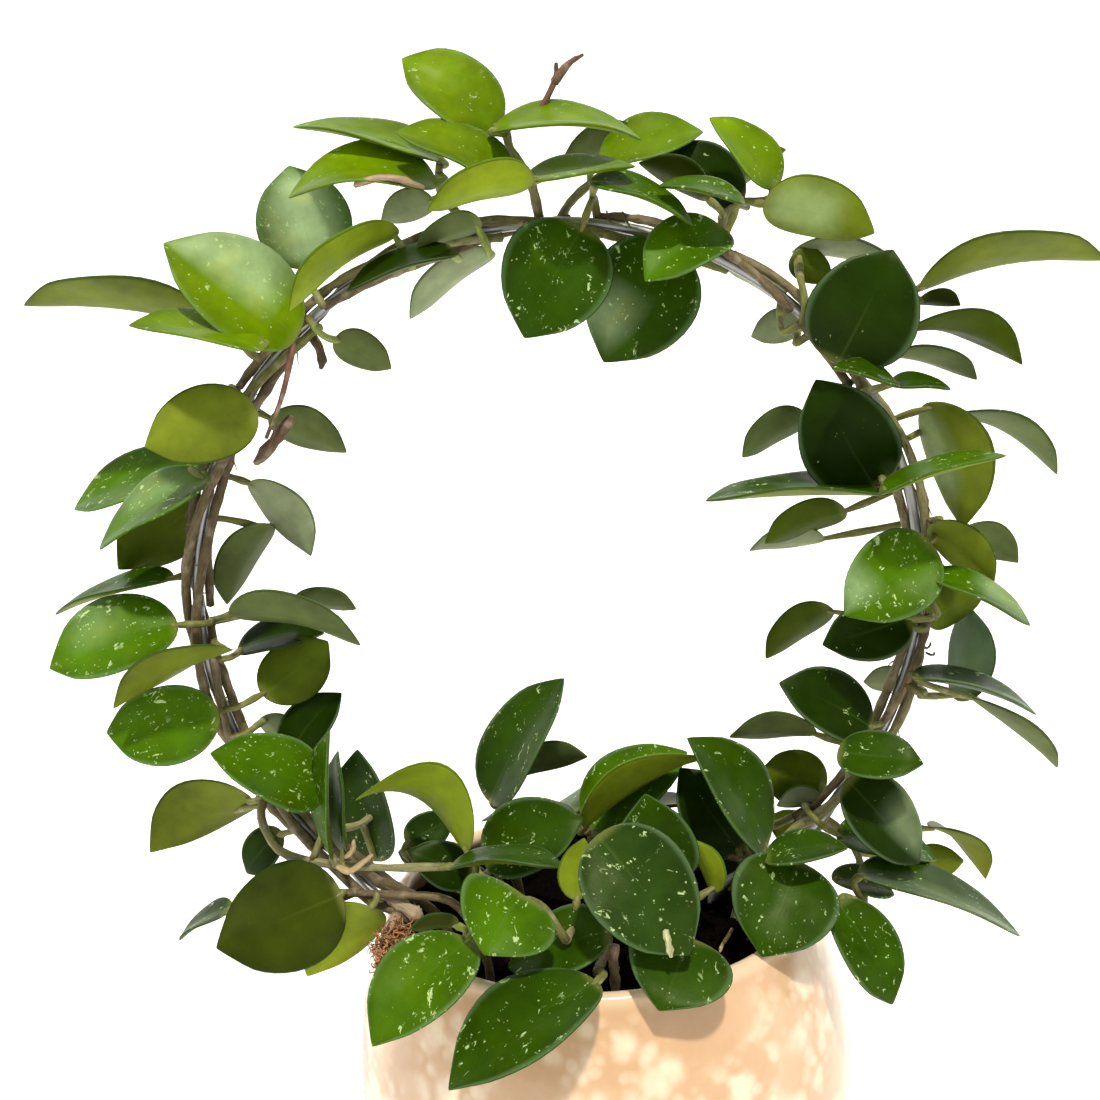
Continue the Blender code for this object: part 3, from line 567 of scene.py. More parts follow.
def stem_material():
    """Stems and petioles: brown bark or green skin from the shade, with lengthwise streaks and scars."""
    g = Graph("hoya_stem", Specular_IOR_Level=0.2)
    shade = g.mark("shade", "Color")
    place = g.mark("place")
    across, along, seed = g.split(place)
    streaks = g.noise(g.joined(across * 1.8, along * 0.3, seed), 1.0, detail=4, roughness=0.65)
    patches = g.noise(place, 0.22, detail=2)
    colour = g.mix(1.0, shade, g.grey(streaks * 1.8 + 0.05), blend="MULTIPLY")
    colour = g.mix(patches.step(0.5, 0.75) * 0.45, colour, (0.5, 0.42, 0.3))
    colour = g.mix(patches.step(0.42, 0.2) * 0.5, colour, (0.07, 0.045, 0.03))
    rings = g.noise(g.joined(across * 0.3, along * 1.6, seed), 1.0, detail=2)
    return g.finish(colour, streaks * 0.2 + 0.5, streaks * 0.35 + rings * 0.2, 0.8)


def wire_material():
    """Dull zinc-coated wire with faint drawing lines and darker patches."""
    g = Graph("zinc_wire", Metallic=0.9)
    place = g.mark("place")
    across, along, seed = g.split(place)
    patches = g.noise(place, 0.12, detail=3)
    lines = g.noise(g.joined(across * 4, along * 0.12, seed), 1.0, detail=2)
    colour = g.mix(patches, (0.2, 0.2, 0.21), (0.48, 0.48, 0.48))
    colour = g.mix(lines.step(0.55, 0.8) * 0.5, colour, (0.2, 0.2, 0.21))
    return g.finish(colour, patches * 0.25 + 0.28, lines * 0.12 + patches * 0.1, 0.5)


def glaze_material():
    """A glossy peach glaze with many soft, round cream spots of three sizes, in loose clusters."""
    g = Graph("peach_glaze", Coat_Weight=0.5, Coat_Roughness=0.08, Specular_IOR_Level=0.4)
    where = g.where()
    _, _, up = g.split(where)
    cloud = g.noise(where, 24, detail=5, roughness=0.65)
    colour = g.mix(cloud.step(0.32, 0.7), *GLAZE)
    colour = g.mix(up.step(0.1075, 0.1125), colour, GLAZED_LIP)
    warp = g.noise(where, 210, detail=2) * 0.3
    clusters = g.noise(where, 34, detail=1)
    for scale, low, high, amount in ((80, 0.36, 0.52, 0.62), (130, 0.4, 0.54, 0.5), (210, 0.36, 0.52, 0.35)):
        spots = (g.cells(where, scale) + warp).step(0.66, 0.32)
        colour = g.mix(spots * clusters.step(low, high) * amount, colour, GLAZE_SPOT)
    crackle = g.noise(where, 420, detail=2)
    return g.finish(colour, crackle * 0.12 + 0.16, cloud * 0.3, 0.3)


def soil_material():
    """Near-black peaty mix, rough, with brown bits."""
    g = Graph("potting_mix", Specular_IOR_Level=0)
    shade = g.mark("shade", "Color")
    where = g.where()
    bits = g.noise(where, 900, detail=4, roughness=0.7)
    colour = g.mix(1.0, shade, g.grey(bits * 2.2), blend="MULTIPLY")
    fibres = g.noise(where, 300, detail=5, roughness=0.75)
    return g.finish(colour, bits * 0.2 + 0.8, fibres * 1.2 + bits * 0.5, 1.0)


RUNNER_OVER_LIP = (spot(-66, -19, 131), spot(-44, -26, 133))

SHOOTS = {}


def grow(name, stems, *leaves, slot="leaf", bare=()):
    """Puts a shoot on the list: its stems, its leaves, a slot word that picks its petioles' green, and its
    leafless runners.
    """
    SHOOTS[f"shoot_{name}"] = Shoot(stems, leaves, slot, bare)


grow(
    "crown",
    [
        leafy_arc(85.5, 98),
        [hoop_point(90, 0), spot(-9, -3, 321), spot(-14, -2, 330), spot(-15, -2, 336)],
        [hoop_point(87, 0), spot(2, 8, 316), spot(8, 10, 321)],
    ],
    Leaf("young", UPPER, (-17, 335.5), (-42, 355.3), 19, (2, 4)),
    Leaf("young", UPPER, (-13.5, 321.5), (-45, 336.5), 12, (-9, -12)),
    Leaf("young", UPPER, (-19, 335), (22, 331.5), 6, (-8, -8), 8),
    Leaf("lime", UNDER, (-8, 321.5), (-38, 315.5), 10, (-24, -31)),
    Leaf("young", UPPER, (-11, 321.5), (20, 324), 5, (-14, -16), 2),
    Leaf("young", UPPER, (10.5, 325.5), (39, 332.5), 12, (8, 10)),
    Leaf("grey", UNDER, (22.5, 331), (-1, 325), 10, (18, 16)),
    slot="young_leaf",
    bare=[
        [spot(-15, -2, 336), spot(-7.3, -1, 338), spot(-1.2, 0, 347), spot(-0.4, 0, 352)],
        [spot(-1.2, 0, 347), spot(2.9, 0, 351.6), spot(7, 0, 353.8)],
    ],
)
grow(
    "top_left",
    [
        leafy_arc(98.6, 125.5),
        [hoop_point(98.6, 0), spot(-28, 7, 312), spot(-34, 4, 320), spot(-34, 1, 327)],
    ],
    Leaf("young", UPPER, (-32.7, 327.8), (-73, 339.5), 6.5, (6, 6), 3),
    Leaf("young", UPPER, (-34.7, 321.8), (-76, 320.7), 12, (-6, -8), 14),
    Leaf("bright", UPPER, (-70, 301), (-75, 329), 27, (12, 12), sheen=(0, 0.02, 0.95, 0.7)),
    Leaf("pale", UNDER, (-36, 318), (-51, 313), 9.5, (12, 16)),
    Leaf("lime", UNDER, (-46, 310), (-79, 290.5), 8.5, (-14, -22), 6),
    Leaf("grey", UNDER, (-23, 311), (-42, 305), 7, (-12, -14)),
    Leaf("dark", UPPER, (-30, 303), (-62, 294.5), 6, (-18, -20)),
    Leaf("pale", UNDER, (-20, 303), (-45, 286), 9, (13, 16)),
    slot="young_leaf",
)
grow(
    "top_front",
    [leafy_arc(67, 81.5)],
    Leaf("mid", UPPER, (5, 308.5), (-13, 279), 30, (-8, -14)),
    Leaf("mid", UPPER, (29, 303), (9, 271), 31, (-3, -5), sheen=(-1, 0.45, 0.9, 0.3)),
    Leaf("bright", UPPER, (44, 306), (21.5, 293), 17, (-10, -24)),
    Leaf("bright", UPPER, (7, 320.5), (35.5, 308), 6, (-16, -18)),
)
grow(
    "top_right",
    [
        leafy_arc(48.8, 64.5),
        [hoop_point(62, 0), spot(44, 2, 309), spot(50, 2, 313)],
    ],
    Leaf("deep_olive", UNDER, (40, 314), (21, 325), 8, (-5, -5)),
    Leaf("bright", UPPER, (50, 312.5), (26, 318.5), 4, (-18, -18)),
    Leaf("dark", UPPER, (49, 312), (28, 328), 15, (8, 8)),
    Leaf("young", UPPER, (59, 316.5), (41, 336), 11, (-2, -2)),
    Leaf("olive", UNDER, (48, 318), (61.5, 326.5), 6, (18, 20)),
    Leaf("lime", UNDER, (55, 312), (86, 303), 17, (-8, -14), 10, sheen=(0, 0.0, 0.7, 0.35)),
)
grow(
    "left_shoulder",
    [
        leafy_arc(128.5, 143.5),
        [hoop_point(138, 0), spot(-90, -3, 279), spot(-93, -3, 284), spot(-97, 0, 287)],
    ],
    Leaf("olive", UNDER, (-98.5, 287), (-152, 296), 9, (4, 6), 4),
    Leaf("young", UPPER, (-77, 282), (-111.3, 310.4), 26, (-8, -16), sheen=(-1, 0.25, 1.0, 0.5)),
    Leaf("young", UPPER, (-86, 280), (-123.6, 288.8), 9, (-20, -26), 4),
    Leaf("grey", UNDER, (-66.5, 281.5), (-51, 272.5), 11, (8, 12)),
    slot="young_leaf",
    bare=[[hoop_point(133, 0), spot(-77, -8, 281), spot(-80, -11, 268), spot(-85, -15, 256)]],
)
grow(
    "left_upper",
    [leafy_arc(144.3, 156.5)],
    Leaf("olive", UNDER, (-90, 262.5), (-123, 254), 21, (-20, -30)),
    Leaf("bright", UPPER, (-105, 246.5), (-145.5, 237.5), 15, (16, 18)),
    Leaf("grey", UNDER, (-87, 260), (-65.5, 249.5), 11, (6, 10)),
)
grow(
    "left_mid",
    [leafy_arc(158.5, 179)],
    Leaf("bright", UPPER, (-105, 244), (-139.5, 225), 10, (-9, -14), sheen=(-1, 0.1, 0.7, 0.25)),
    Leaf("moss", UNDER, (-107, 238), (-134.5, 219), 23, (12, 14)),
    Leaf("mid", UPPER, (-119, 215), (-154.7, 207), 4.5, (2, 2), 3),
    Leaf("pale", UNDER, (-94, 242.5), (-78, 220), 11, (4, 8)),
    Leaf("grey", UNDER, (-90, 230), (-104.5, 207), 12, (8, 12)),
)
grow(
    "left_low",
    [leafy_arc(181.5, 210.5)],
    Leaf("bright", UPPER, (-119, 201.5), (-158.5, 190.5), 22, (-8, -14), sheen=(-1, 0.4, 0.8, 0.15)),
    Leaf("grey", UNDER, (-104, 204), (-66, 192.5), 9, (-8, -10), 9),
    Leaf("grey", UNDER, (-85.5, 206), (-66.5, 203.5), 7, (18, 22)),
    Leaf("dark", UPPER, (-102.5, 192.5), (-76.5, 196.5), 10, (10, 12)),
    Leaf("olive", UNDER, (-104, 193), (-141, 177.5), 7, (-16, -20)),
    Leaf("bright", UPPER, (-109.5, 173), (-144, 169.5), 23, (-9, -9)),
    Leaf("moss", UNDER, (-96.5, 178.5), (-75.5, 194), 19, (2, 4)),
    Leaf("pale", UNDER, (-97, 172), (-88, 160), 8, (10, 12)),
)
grow(
    "left_foot",
    [
        leafy_arc(211.5, 224),
        [hoop_point(224, 0), spot(-82, 9, 131), spot(-74, 12, 131), spot(-69, 14, 133)],
        [hoop_point(212, 0), spot(-98, -8, 141), spot(-90, -13, 133), *RUNNER_OVER_LIP],
    ],
    Leaf("bright", UPPER, (-81, 147), (-113.5, 161.5), 20, (-12, -24)),
    Leaf("dark", UPPER, (-91, 157), (-73, 178), 15, (2, 6)),
    Leaf("bright", UPPER, (-80, 126), (-78, 166.5), 5, (-20, -18), 3),
    Leaf("mid", UPPER, (-75.5, 127), (-76, 160), 6, (-16, -6), 3),
    Leaf("bluish", UPPER, (-66.5, 124), (-70, 160), 19, (17, 20)),
    Leaf("olive", UNDER, (-102.5, 146.5), (-135, 131), 18, (4, 6), 12),
    Leaf("deep_olive", UNDER, (-109.5, 143), (-122.5, 134.5), 8, (16, 20)),
    Leaf("dark", UPPER, (-94.5, 135.5), (-106.5, 122.5), 12, (6, 8)),
    Leaf("mid", UPPER, (-44.5, 121), (-9.5, 119), 6, (-30, -36), 5),
)
grow(
    "pot_left",
    [
        [*reversed(rooted_end(-36, -22)), spot(-43, -21, 120), spot(-59, -19, 122), spot(-76, -20, 124)],
        [spot(-70, -19.5, 124), spot(-82, -14, 118), spot(-96, -2, 114), spot(-104, 8, 113)],
    ],
    Leaf("deep_olive", UNDER, (-78, 114), (-118, 98.5), 31, (-24, -32)),
    Leaf("lime", UNDER, (-69, 109), (-91, 87.5), 18, (-23, -17)),
    Leaf("bluish", UPPER, (-112, 111), (-129.3, 102), 5, (12, 16)),
)
grow(
    "left_lip",
    [[*reversed(rooted_end(-32, -38)), spot(-35, -42, 118), spot(-37, -48, 122)]],
    Leaf("bright", UPPER, (-40, 96.5), (-73, 63), 21, (-56, -78)),
    Leaf("deep_olive", UNDER, (-43, 102), (-58, 101.5), 4, (-46, -50)),
    slot="young_leaf",
)
grow(
    "bottom_left",
    [
        [*reversed(rooted_end(-24, 8)), spot(-28, 6, 126), spot(-26, 8, 138), spot(-25, 12, 148)],
        [spot(-28, 6, 122), spot(-42, 0, 123), spot(-56, 2, 123)],
        [spot(-28, 4, 122), spot(-33, -8, 122), spot(-37, -16, 123)],
    ],
    Leaf("lime", UNDER, (-38.5, 126), (-71.5, 144.5), 11, (-20, -24), 34),
    Leaf("bluish", UPPER, (-57.5, 130), (-42.5, 137.5), 12, (6, 10)),
    Leaf("mid", UPPER, (-31, 141), (-7, 179), 19, (6, 12)),
    Leaf("grey", UNDER, (-25, 149.5), (-1, 154.5), 9, (18, 22)),
    Leaf("mid", UPPER, (-34.5, 124.5), (-3, 134.5), 22, (-10, -17)),
    Leaf("dark", UPPER, (-44, 122), (-60, 127), 11, (18, 23)),
    Leaf("dark", UPPER, (-38, 117), (-57, 127), 14, (-5, -7)),
    Leaf("dark", UPPER, (-31, 112), (-52, 118), 9, (-4, -2)),
)
grow(
    "pot_front",
    [
        [*reversed(rooted_end(2, -26)), spot(2, -34, 122), spot(6, -44, 128), spot(10, -50, 127)],
        [spot(2, -34, 122), spot(-8, -46, 122), spot(-10, -52, 122)],
        [spot(2, -26.5, 109), spot(0, -38, 109), spot(-2, -47, 110.5), spot(-2.3, -54, 113.5)],
    ],
    Leaf("bright", UPPER, (-23, 111), (-36, 91.5), 28, (-50, -66)),
    Leaf("mid", UPPER, (4, 97), (-29, 87), 17, (-50, -44)),
    Leaf("mid", UPPER, (-1, 80), (-50, 46), 20, (-66, -84)),
    Leaf("mid", UPPER, (27, 94), (17.5, 69.5), 28, (-54, -72)),
    Leaf("bluish", UPPER, (0.8, 128.9), (27.8, 87.8), 28, (-52, -68)),
    Leaf("mid", UPPER, (20, 112), (16, 141), 24, (-30, -36)),
    Leaf("lime", UNDER, (36.5, 108), (31, 125.5), 7, (-26, -22)),
    Leaf("lime", UNDER, (-6.7, 108), (-3.2, 128.2), 10, (-42, -36)),
)
grow(
    "pot_back",
    [[*reversed(rooted_end(0, 26)), spot(0, 32, 118), spot(2, 40, 121), spot(2, 46, 121)]],
    Leaf("mid", UPPER, (-4, 137), (-13, 135), 5, (48, 88), 9),
    Leaf("mid", UPPER, (8, 137), (18, 136), 5, (46, 86), 9),
    Leaf("dark", UPPER, (-6, 134), (-34, 136), 6, (38, 52)),
    Leaf("dark", UPPER, (8, 134), (34, 137), 6, (38, 50)),
)
grow(
    "bottom_right",
    [
        [*reversed(rooted_end(22, 2)), spot(24, 0, 122), spot(34, -4, 123), spot(48, -8, 121)],
        [spot(24, 0, 118), spot(8, -1, 126), spot(-2, -2, 131)],
        [spot(34, -4, 123), spot(50, 6, 124), spot(62, 8, 128)],
    ],
    Leaf("bright", UPPER, (-3, 133), (29, 154), 21, (5, 9)),
    Leaf("lime", UNDER, (-3, 131.5), (35, 152.5), 7, (-10, -12), 8),
    Leaf("mid", UPPER, (52, 121.5), (29.5, 158.5), 17, (-14, -14)),
    Leaf("dark", UPPER, (44, 121), (26.7, 149), 21, (-4, -2)),
    Leaf("dark", UPPER, (45, 116), (22, 130), 16, (6, 12)),
    Leaf("moss", UNDER, (71, 142), (51, 147), 18, (12, 14)),
    Leaf("pale", UNDER, (69, 137), (55.5, 135.5), 6, (6, 6)),
    Leaf("olive", UNDER, (68, 124), (53, 132), 12, (12, 16)),
    Leaf("mid", UPPER, (51.5, 118), (77, 120.5), 9, (-32, -36)),
    Leaf("mid", UPPER, (62, 117), (50, 86), 30, (-30, -48)),
)
grow(
    "right_foot",
    [
        leafy_arc(-31.5, -46),
        [hoop_point(-46, 0), spot(70, 9, 128), spot(79, 4, 121), spot(79, -10, 116), spot(77, -20, 112)],
    ],
    Leaf("mid", UPPER, (73, 103), (90.9, 67.4), 17, (-32, -44)),
    Leaf("mid", UPPER, (80, 112), (130.3, 88.5), 10, (-22, -30), sheen=(-1, 0.3, 1.0, 0.2)),
    Leaf("mid", UPPER, (72, 110.5), (91.5, 104.5), 8, (-14, -12)),
    Leaf("mid", UPPER, (73.5, 124), (104.5, 115.5), 12, (-6, -6)),
    Leaf("dark", UPPER, (76.5, 142.5), (99, 114), 19, (-20, -26), sheen=(1, 0.4, 0.95, 0.25)),
    Leaf("mid", UPPER, (74, 151), (100, 146.5), 14, (-23, -33)),
    Leaf("olive", UNDER, (102, 126), (119.5, 108.3), 5, (10, 12), 14),
    Leaf("olive", UNDER, (98, 115), (112.5, 114.3), 11, (10, 12)),
)
grow(
    "right_low",
    [leafy_arc(-6.5, -29)],
    Leaf("dark", UPPER, (84.5, 158), (57, 174), 19, (-8, -12)),
    Leaf("grey", UNDER, (68, 157.5), (41.7, 158), 7, (6, 8)),
    Leaf("dark", UPPER, (96, 192), (70, 185), 18, (-8, -10)),
    Leaf("moss", UNDER, (73, 196), (53, 182), 10, (8, 12)),
    Leaf("pale", UNDER, (96, 172), (82, 173), 8, (10, 12)),
    Leaf("bluish", UPPER, (96.5, 173.5), (134, 160.5), 5, (-12, -16), sheen=(-1, 0.2, 1.0, 0.3)),
    Leaf("grey", UNDER, (114, 166.5), (141, 143.5), 3, (2, 2), 2),
    Leaf("bluish", UNDER, (110, 165.5), (113.5, 194.5), 14, (12, 14)),
)
grow(
    "right_mid",
    [leafy_arc(32, -4)],
    Leaf("bright", UPPER, (102, 214), (76.5, 193.5), 24, (-17, -22), sheen=(-1, 0.6, 1.0, 0.3)),
    Leaf("moss", UNDER, (77.5, 224.5), (53.5, 216.5), 10, (6, 10)),
    Leaf("pale", UNDER, (71, 216.5), (49, 215), 6, (16, 18)),
    Leaf("mid", UPPER, (89, 229), (36.5, 230), 6, (-14, -18), 2),
    Leaf("bright", UPPER, (87, 229), (123.6, 238.6), 5, (-24, -28), 3),
    Leaf("dark", UPPER, (86, 231), (69, 263), 27, (-8, -8)),
    Leaf("grey", UNDER, (66.5, 253), (47.5, 242), 10, (12, 14)),
    Leaf("olive", UNDER, (101.5, 255), (111.5, 218), 18, (-2, -4), sheen=(1, 0.05, 0.75, 0.35)),
    Leaf("grey", UNDER, (106, 251), (138.4, 232.3), 5, (10, 12), 12),
    Leaf("olive", UNDER, (102, 219.5), (120.5, 200), 12, (-10, -14)),
    Leaf("grey", UNDER, (110, 217), (127.6, 207), 11, (12, 14)),
    Leaf("bright", UPPER, (102, 204), (131.5, 187.5), 7, (-20, -26), sheen=(1, 0.4, 1.0, 0.3)),
    Leaf("moss", UNDER, (101, 190), (118, 199), 12, (8, 10)),
)
grow(
    "right_shoulder",
    [
        leafy_arc(46, 33.5),
        [hoop_point(44, 0), spot(70, -8.5, 278.5), spot(82, -5, 281), spot(96, 0, 286)],
    ],
    Leaf("dark", UPPER, (75, 267), (91, 298), 30, (-14, -18)),
    Leaf("pale", UNDER, (63, 299), (93, 291.5), 6, (14, 16)),
    Leaf("moss", UNDER, (62.5, 297.5), (74, 290.5), 10, (10, 12)),
    Leaf("olive", UNDER, (98, 287), (150.5, 293), 9, (-2, -4), 7),
    Leaf("deep_olive", UNDER, (98, 283.5), (110, 282), 5, (10, 12)),
    Leaf("moss", UNDER, (94, 275), (127.8, 264.3), 8, (4, 4), 15),
    Leaf("grey", UNDER, (91, 269), (115, 261), 6, (10, 12)),
    Leaf("mid", UPPER, (92.5, 260), (73.5, 266), 4, (-21, -24)),
    Leaf("mid", UPPER, (90, 260.5), (107.5, 258.5), 4, (-12, -14)),
    Leaf("pale", UNDER, (66, 279.5), (50.8, 276), 10, (10, 12)),
    Leaf("pale", UNDER, (60.5, 286), (44, 296), 7, (11, 13)),
)


TWIGS = {
    "shoot_top_front": [
        (0.3, BARK, [(11.7, 312.5, -3), (11.9, 310.4, -5), (13.5, 308.8, -6)]),
        (0.35, BARK, [(16, 312, -3), (17, 309.5, -5), (18.1, 307.6, -5)]),
    ],
    "shoot_top_left": [
        (0.9, SCORCHED, [(-57.5, 322.8, -21), (-51, 324.4, -21), (-45, 323.8, -20), (-38.5, 321.3, -16)])
    ],
    "shoot_pot_front": [(0.9, PALE_SCAR, [(20.5, 96.5, -67.6), (21.2, 92, -68.4), (22, 87.5, -68.8)])],
    "shoot_left_shoulder": [(1.3, BARK, [(-73, 283, 0), (-70.5, 278, -2), (-70.9, 273.4, -3)])],
    "shoot_left_upper": [(1.7, DEAD_STEM, [(-80.5, 260, -6), (-86, 253.5, -9), (-92, 247.5, -9)])],
    "shoot_left_foot": [
        (0.9, DRY_BRACT, [(-79, 123.4, -19), (-75.5, 121.4, -21), (-72, 123, -21), (-67.8, 126.3, -20)]),
        (0.7, DRY_BRACT, [(-76, 126, -19), (-73.8, 128, -21), (-73, 131.5, -21)]),
    ],
    "shoot_right_low": [
        (0.35, BARK, [(99.3, 183.4, 0), (100.7, 182.3, 0), (101.8, 183, 0), (102, 184, 0)]),
        (0.35, BARK, [(100.6, 181, 0), (102, 180.2, 0), (103, 180.2, 0), (103, 181, 0)]),
    ],
    "soil": [
        (0.55, DRY_BRACT, [(41, 95.8, -21.5), (39.4, 92.8, -26.6), (37.8, 90.3, -31), (37.1, 88.3, -34.5)])
    ],
}


def add_twigs(skin, name, slot=1):
    """Dry stubs, bracts and roots, each as (radius in mm, colour, places seen on the hoop's plane)."""
    for radius, colour, places in TWIGS.get(name, ()):
        path = smooth_path([seen_at(*place) for place in places], 4)
        radii = radius * MM * np.array([0.8, 1.2, 0.9, 1.1, 0.6])
        skin.tube(path, radii, [colour], slot=slot, sides=7, roughness=0.12)


def make_shoot(name, shoot, skins, seed):
    """Stems, then for each leaf a petiole from the nearest joint and its blade."""
    skin = Skin(seed)
    for index, path in enumerate([*shoot.stems, *shoot.bare]):
        bare = index >= len(shoot.stems)
        if bare:
            shades = [TAN_STEM, RED_STEM, BARK]
        elif index:
            shades = [TAN_STEM, KHAKI_STEM, KHAKI_STEM]
        else:
            shades = [BARK, TAN_STEM, BARK]
        points = smooth_path(path, 4)
        swell = 1 + 0.1 * skin.random.normal(size=len(points))
        taper = np.linspace(1, 0.35 if bare else 0.85, len(points))
        skin.tube(points, VINE_RADIUS * swell * taper, shades, slot=1, sides=10, roughness=0.03)
    joints = [point for path in shoot.stems for point in smooth_path(path, 3)]
    for leaf in shoot.leaves:
        base = seen_at(*leaf.base, leaf.depth[0])
        path = smooth_path(petiole_path(nearest(joints, base), leaf), 5)
        green = YOUNG_PETIOLE if shoot.slot == "young_leaf" else GREEN_STEM
        radii = PETIOLE_RADIUS * np.array([1.25, 1.0, 0.95, 0.95, 1.15, 0.6])
        skin.tube(path, radii, [BARK, green, green, green], slot=1, sides=8, roughness=0.02)
        skin.leaf(leaf)
    add_twigs(skin, name)
    skin.made(f"{name}_leafy", skins, [name], shoot.slot)


def pot_radius(height):
    """The outer wall: two elliptical arcs that meet at the belly."""
    rise = height - POT_BELLY_HEIGHT
    end_radius, end_rise = POT_RIM_RADIUS, POT_HEIGHT - POT_BELLY_HEIGHT
    if rise < 0:
        end_radius, end_rise = POT_FOOT_RADIUS, POT_BELLY_HEIGHT
    reach = end_rise / math.sqrt(1 - (end_radius / POT_BELLY_RADIUS) ** 2)
    return POT_BELLY_RADIUS * math.sqrt(1 - (rise / reach) ** 2)


def turned(profile, around):
    """Rings of a profile of (radius, height) turned about Z."""
    turn = np.linspace(0, 2 * math.pi, around, endpoint=False)
    radius, height = np.array(profile).T
    rings = np.zeros((len(profile), around, 3))
    rings[..., 0] = radius[:, None] * np.cos(turn)
    rings[..., 1] = radius[:, None] * np.sin(turn)
    rings[..., 2] = height[:, None]
    return rings


def make_pot():
    """A turned, slightly uneven bowl with a rounded lip and a wall of even thickness."""
    lip = POT_WALL / 2
    heights = np.linspace(0.6 * MM, POT_HEIGHT - lip, 60)
    outer = [(pot_radius(z), z) for z in heights]
    top = outer[-1][0]
    bends = np.linspace(0.3, 2.84, 9)
    arc = [(top - lip + lip * math.cos(a), POT_HEIGHT - lip + lip * math.sin(a)) for a in bends]
    inner = [(pot_radius(z) - POT_WALL, z) for z in reversed(heights) if z > 6 * MM]
    foot = [(0, 0), (POT_FOOT_RADIUS - 1.5 * MM, 0)]
    rings = turned([*foot, *outer, *arc, *inner, (0, 5.5 * MM)], 144)
    skin = Skin(1)
    skin.loft(rings, (1, 1, 1, 1), (0, 0, 0), (0, 0, 0))
    skin.made("glazed_bowl", [glaze_material()], ["pot"], "glazed_pot")


def make_soil():
    """Lumpy potting mix with loose crumbs and bits of bark on it."""
    skin = Skin(2)
    wall = [(pot_radius(z) - POT_WALL - 0.4 * MM, z) for z in np.linspace(10 * MM, SOIL_TOP, 16)]
    edge = wall[-1][0]
    top = [(edge * r, SOIL_TOP + SOIL_RISE * math.cos(r * math.pi / 2)) for r in np.linspace(0.985, 0.02, 40)]
    rings = turned([(0, 10 * MM), *wall, *top, (0, SOIL_TOP + SOIL_RISE)], 150)
    for row in range(len(wall), len(rings)):
        for point in rings[row]:
            lump = noise.fractal(Vector(point) * 140, 0.8, 2.1, 5)
            point[2] += lump * 1.1 * MM
    rings[-1] = rings[-1, 0]
    skin.loft(rings, (*PEAT, 1), (0, 0, 0), (0, 0, 0))
    crumb = turned([(0, -1), (0.9, -0.5), (1, 0.3), (0, 0.9)], 5).reshape(-1, 3)
    for _ in range(CRUMBS):
        turn = skin.random.uniform(0, 2 * math.pi)
        far = math.sqrt(skin.random.uniform(0, 0.93))
        size = skin.random.uniform(0.3, 1.1) ** 2 * 1.5 * MM
        centre = np.array([math.cos(turn) * far * edge, math.sin(turn) * far * edge, SOIL_TOP])
        centre[2] += SOIL_RISE * 0.8
        stretch = skin.random.uniform(0.5, 1.3, 3) * size
        angle = skin.random.uniform(0, 6.28)
        cosine, sine = math.cos(angle), math.sin(angle)
        spin = np.array([[cosine, -sine, 0], [sine, cosine, 0], [0, 0, 1]])
        rings = (crumb * stretch @ spin.T + centre).reshape(4, 5, 3)
        bright = 12 if skin.random.random() < 0.06 else 1
        brown = skin.random.uniform(0.2, 1) * np.array(PEAT_CRUMB) * bright
        skin.loft(rings, (*brown, 1), (0, 0, 0), (0, 0, 0))
    add_twigs(skin, "soil", 0)
    skin.made("potting_mix_top", [soil_material()], ["soil"], "potting_soil")


def make_wire():
    """The hoop: nearly a full circle, its ends bent down into the soil. Its left leg passes over the lip."""
    left = [spot(-66, -8, 116.5), spot(-57, -13, 114.3), *rooted_end(-51, -15, (3, 0))]
    right = rooted_end(36, 0, (-4, 0))
    skin = Skin(3)
    path = smooth_path([*reversed(right), *hoop_arc(-55, 229), *left], 3)
    skin.tube(path, WIRE_RADIUS, [(0.5, 0.5, 0.5)], sides=12)
    skin.made("zinc_hoop", [wire_material()], ["hoop_wire"], "galvanised_wire")


def make_vines(bark):
    """Bare woody stems wound round the wire, with knots, swellings and short dry roots."""
    left_ends = {
        1: ((96, 226), [spot(-64, -2, 119), spot(-55, -8.5, 116), *rooted_end(-47.5, -11)]),
        2: ((60, 226), [spot(-65, -8, 121), spot(-55, -13.5, 119), *rooted_end(-45, -15, (2, 0))]),
        3: ((128, 226), [spot(-68, -12, 117.5), spot(-59, -17.5, 116), *rooted_end(-50.5, -19.5)]),
    }
    right_ends = {1: ((92, -50), rooted_end(42, -9)), 3: ((36, -50), rooted_end(44, 8))}
    for side, ends in (("left", left_ends), ("right", right_ends)):
        for strand, ((top, foot), soil_end) in ends.items():
            skin = Skin(10 + strand + len(side))
            path = smooth_path([*reversed([*hoop_arc(top, foot, strand), *soil_end])], 5)
            count = len(path)
            knots = 0.22 * np.clip(np.sin(np.arange(count) * 0.42 + strand), 0, 1) ** 12
            uneven = 1 + knots + 0.05 * skin.random.normal(size=count)
            radii = VINE_RADIUS * np.linspace(1.1, 0.85, count) * uneven
            shades = [KHAKI_STEM, TAN_STEM, KHAKI_STEM]
            if side == "left":
                shades = [BARK, TAN_STEM, BARK, GREEN_STEM]
            skin.tube(path, radii, shades, sides=12, roughness=0.04)
            for at in skin.random.choice(np.arange(20, count - 4), HAIR_ROOTS, replace=False):
                away = Vector(skin.random.normal(size=3)).normalized()
                tip = path[at] + (away + Vector((0, 0, -0.4))) * 3.6 * MM
                hair = [path[at], path[at] + away * 2 * MM, tip]
                skin.tube(smooth_path(hair, 3), [0.28 * MM, 0.15 * MM], [BARK, RED_STEM], sides=5)
            skin.made(f"woody_{side}_{strand}", [bark], [f"vine_{side}_{strand}"], "vine_bark")


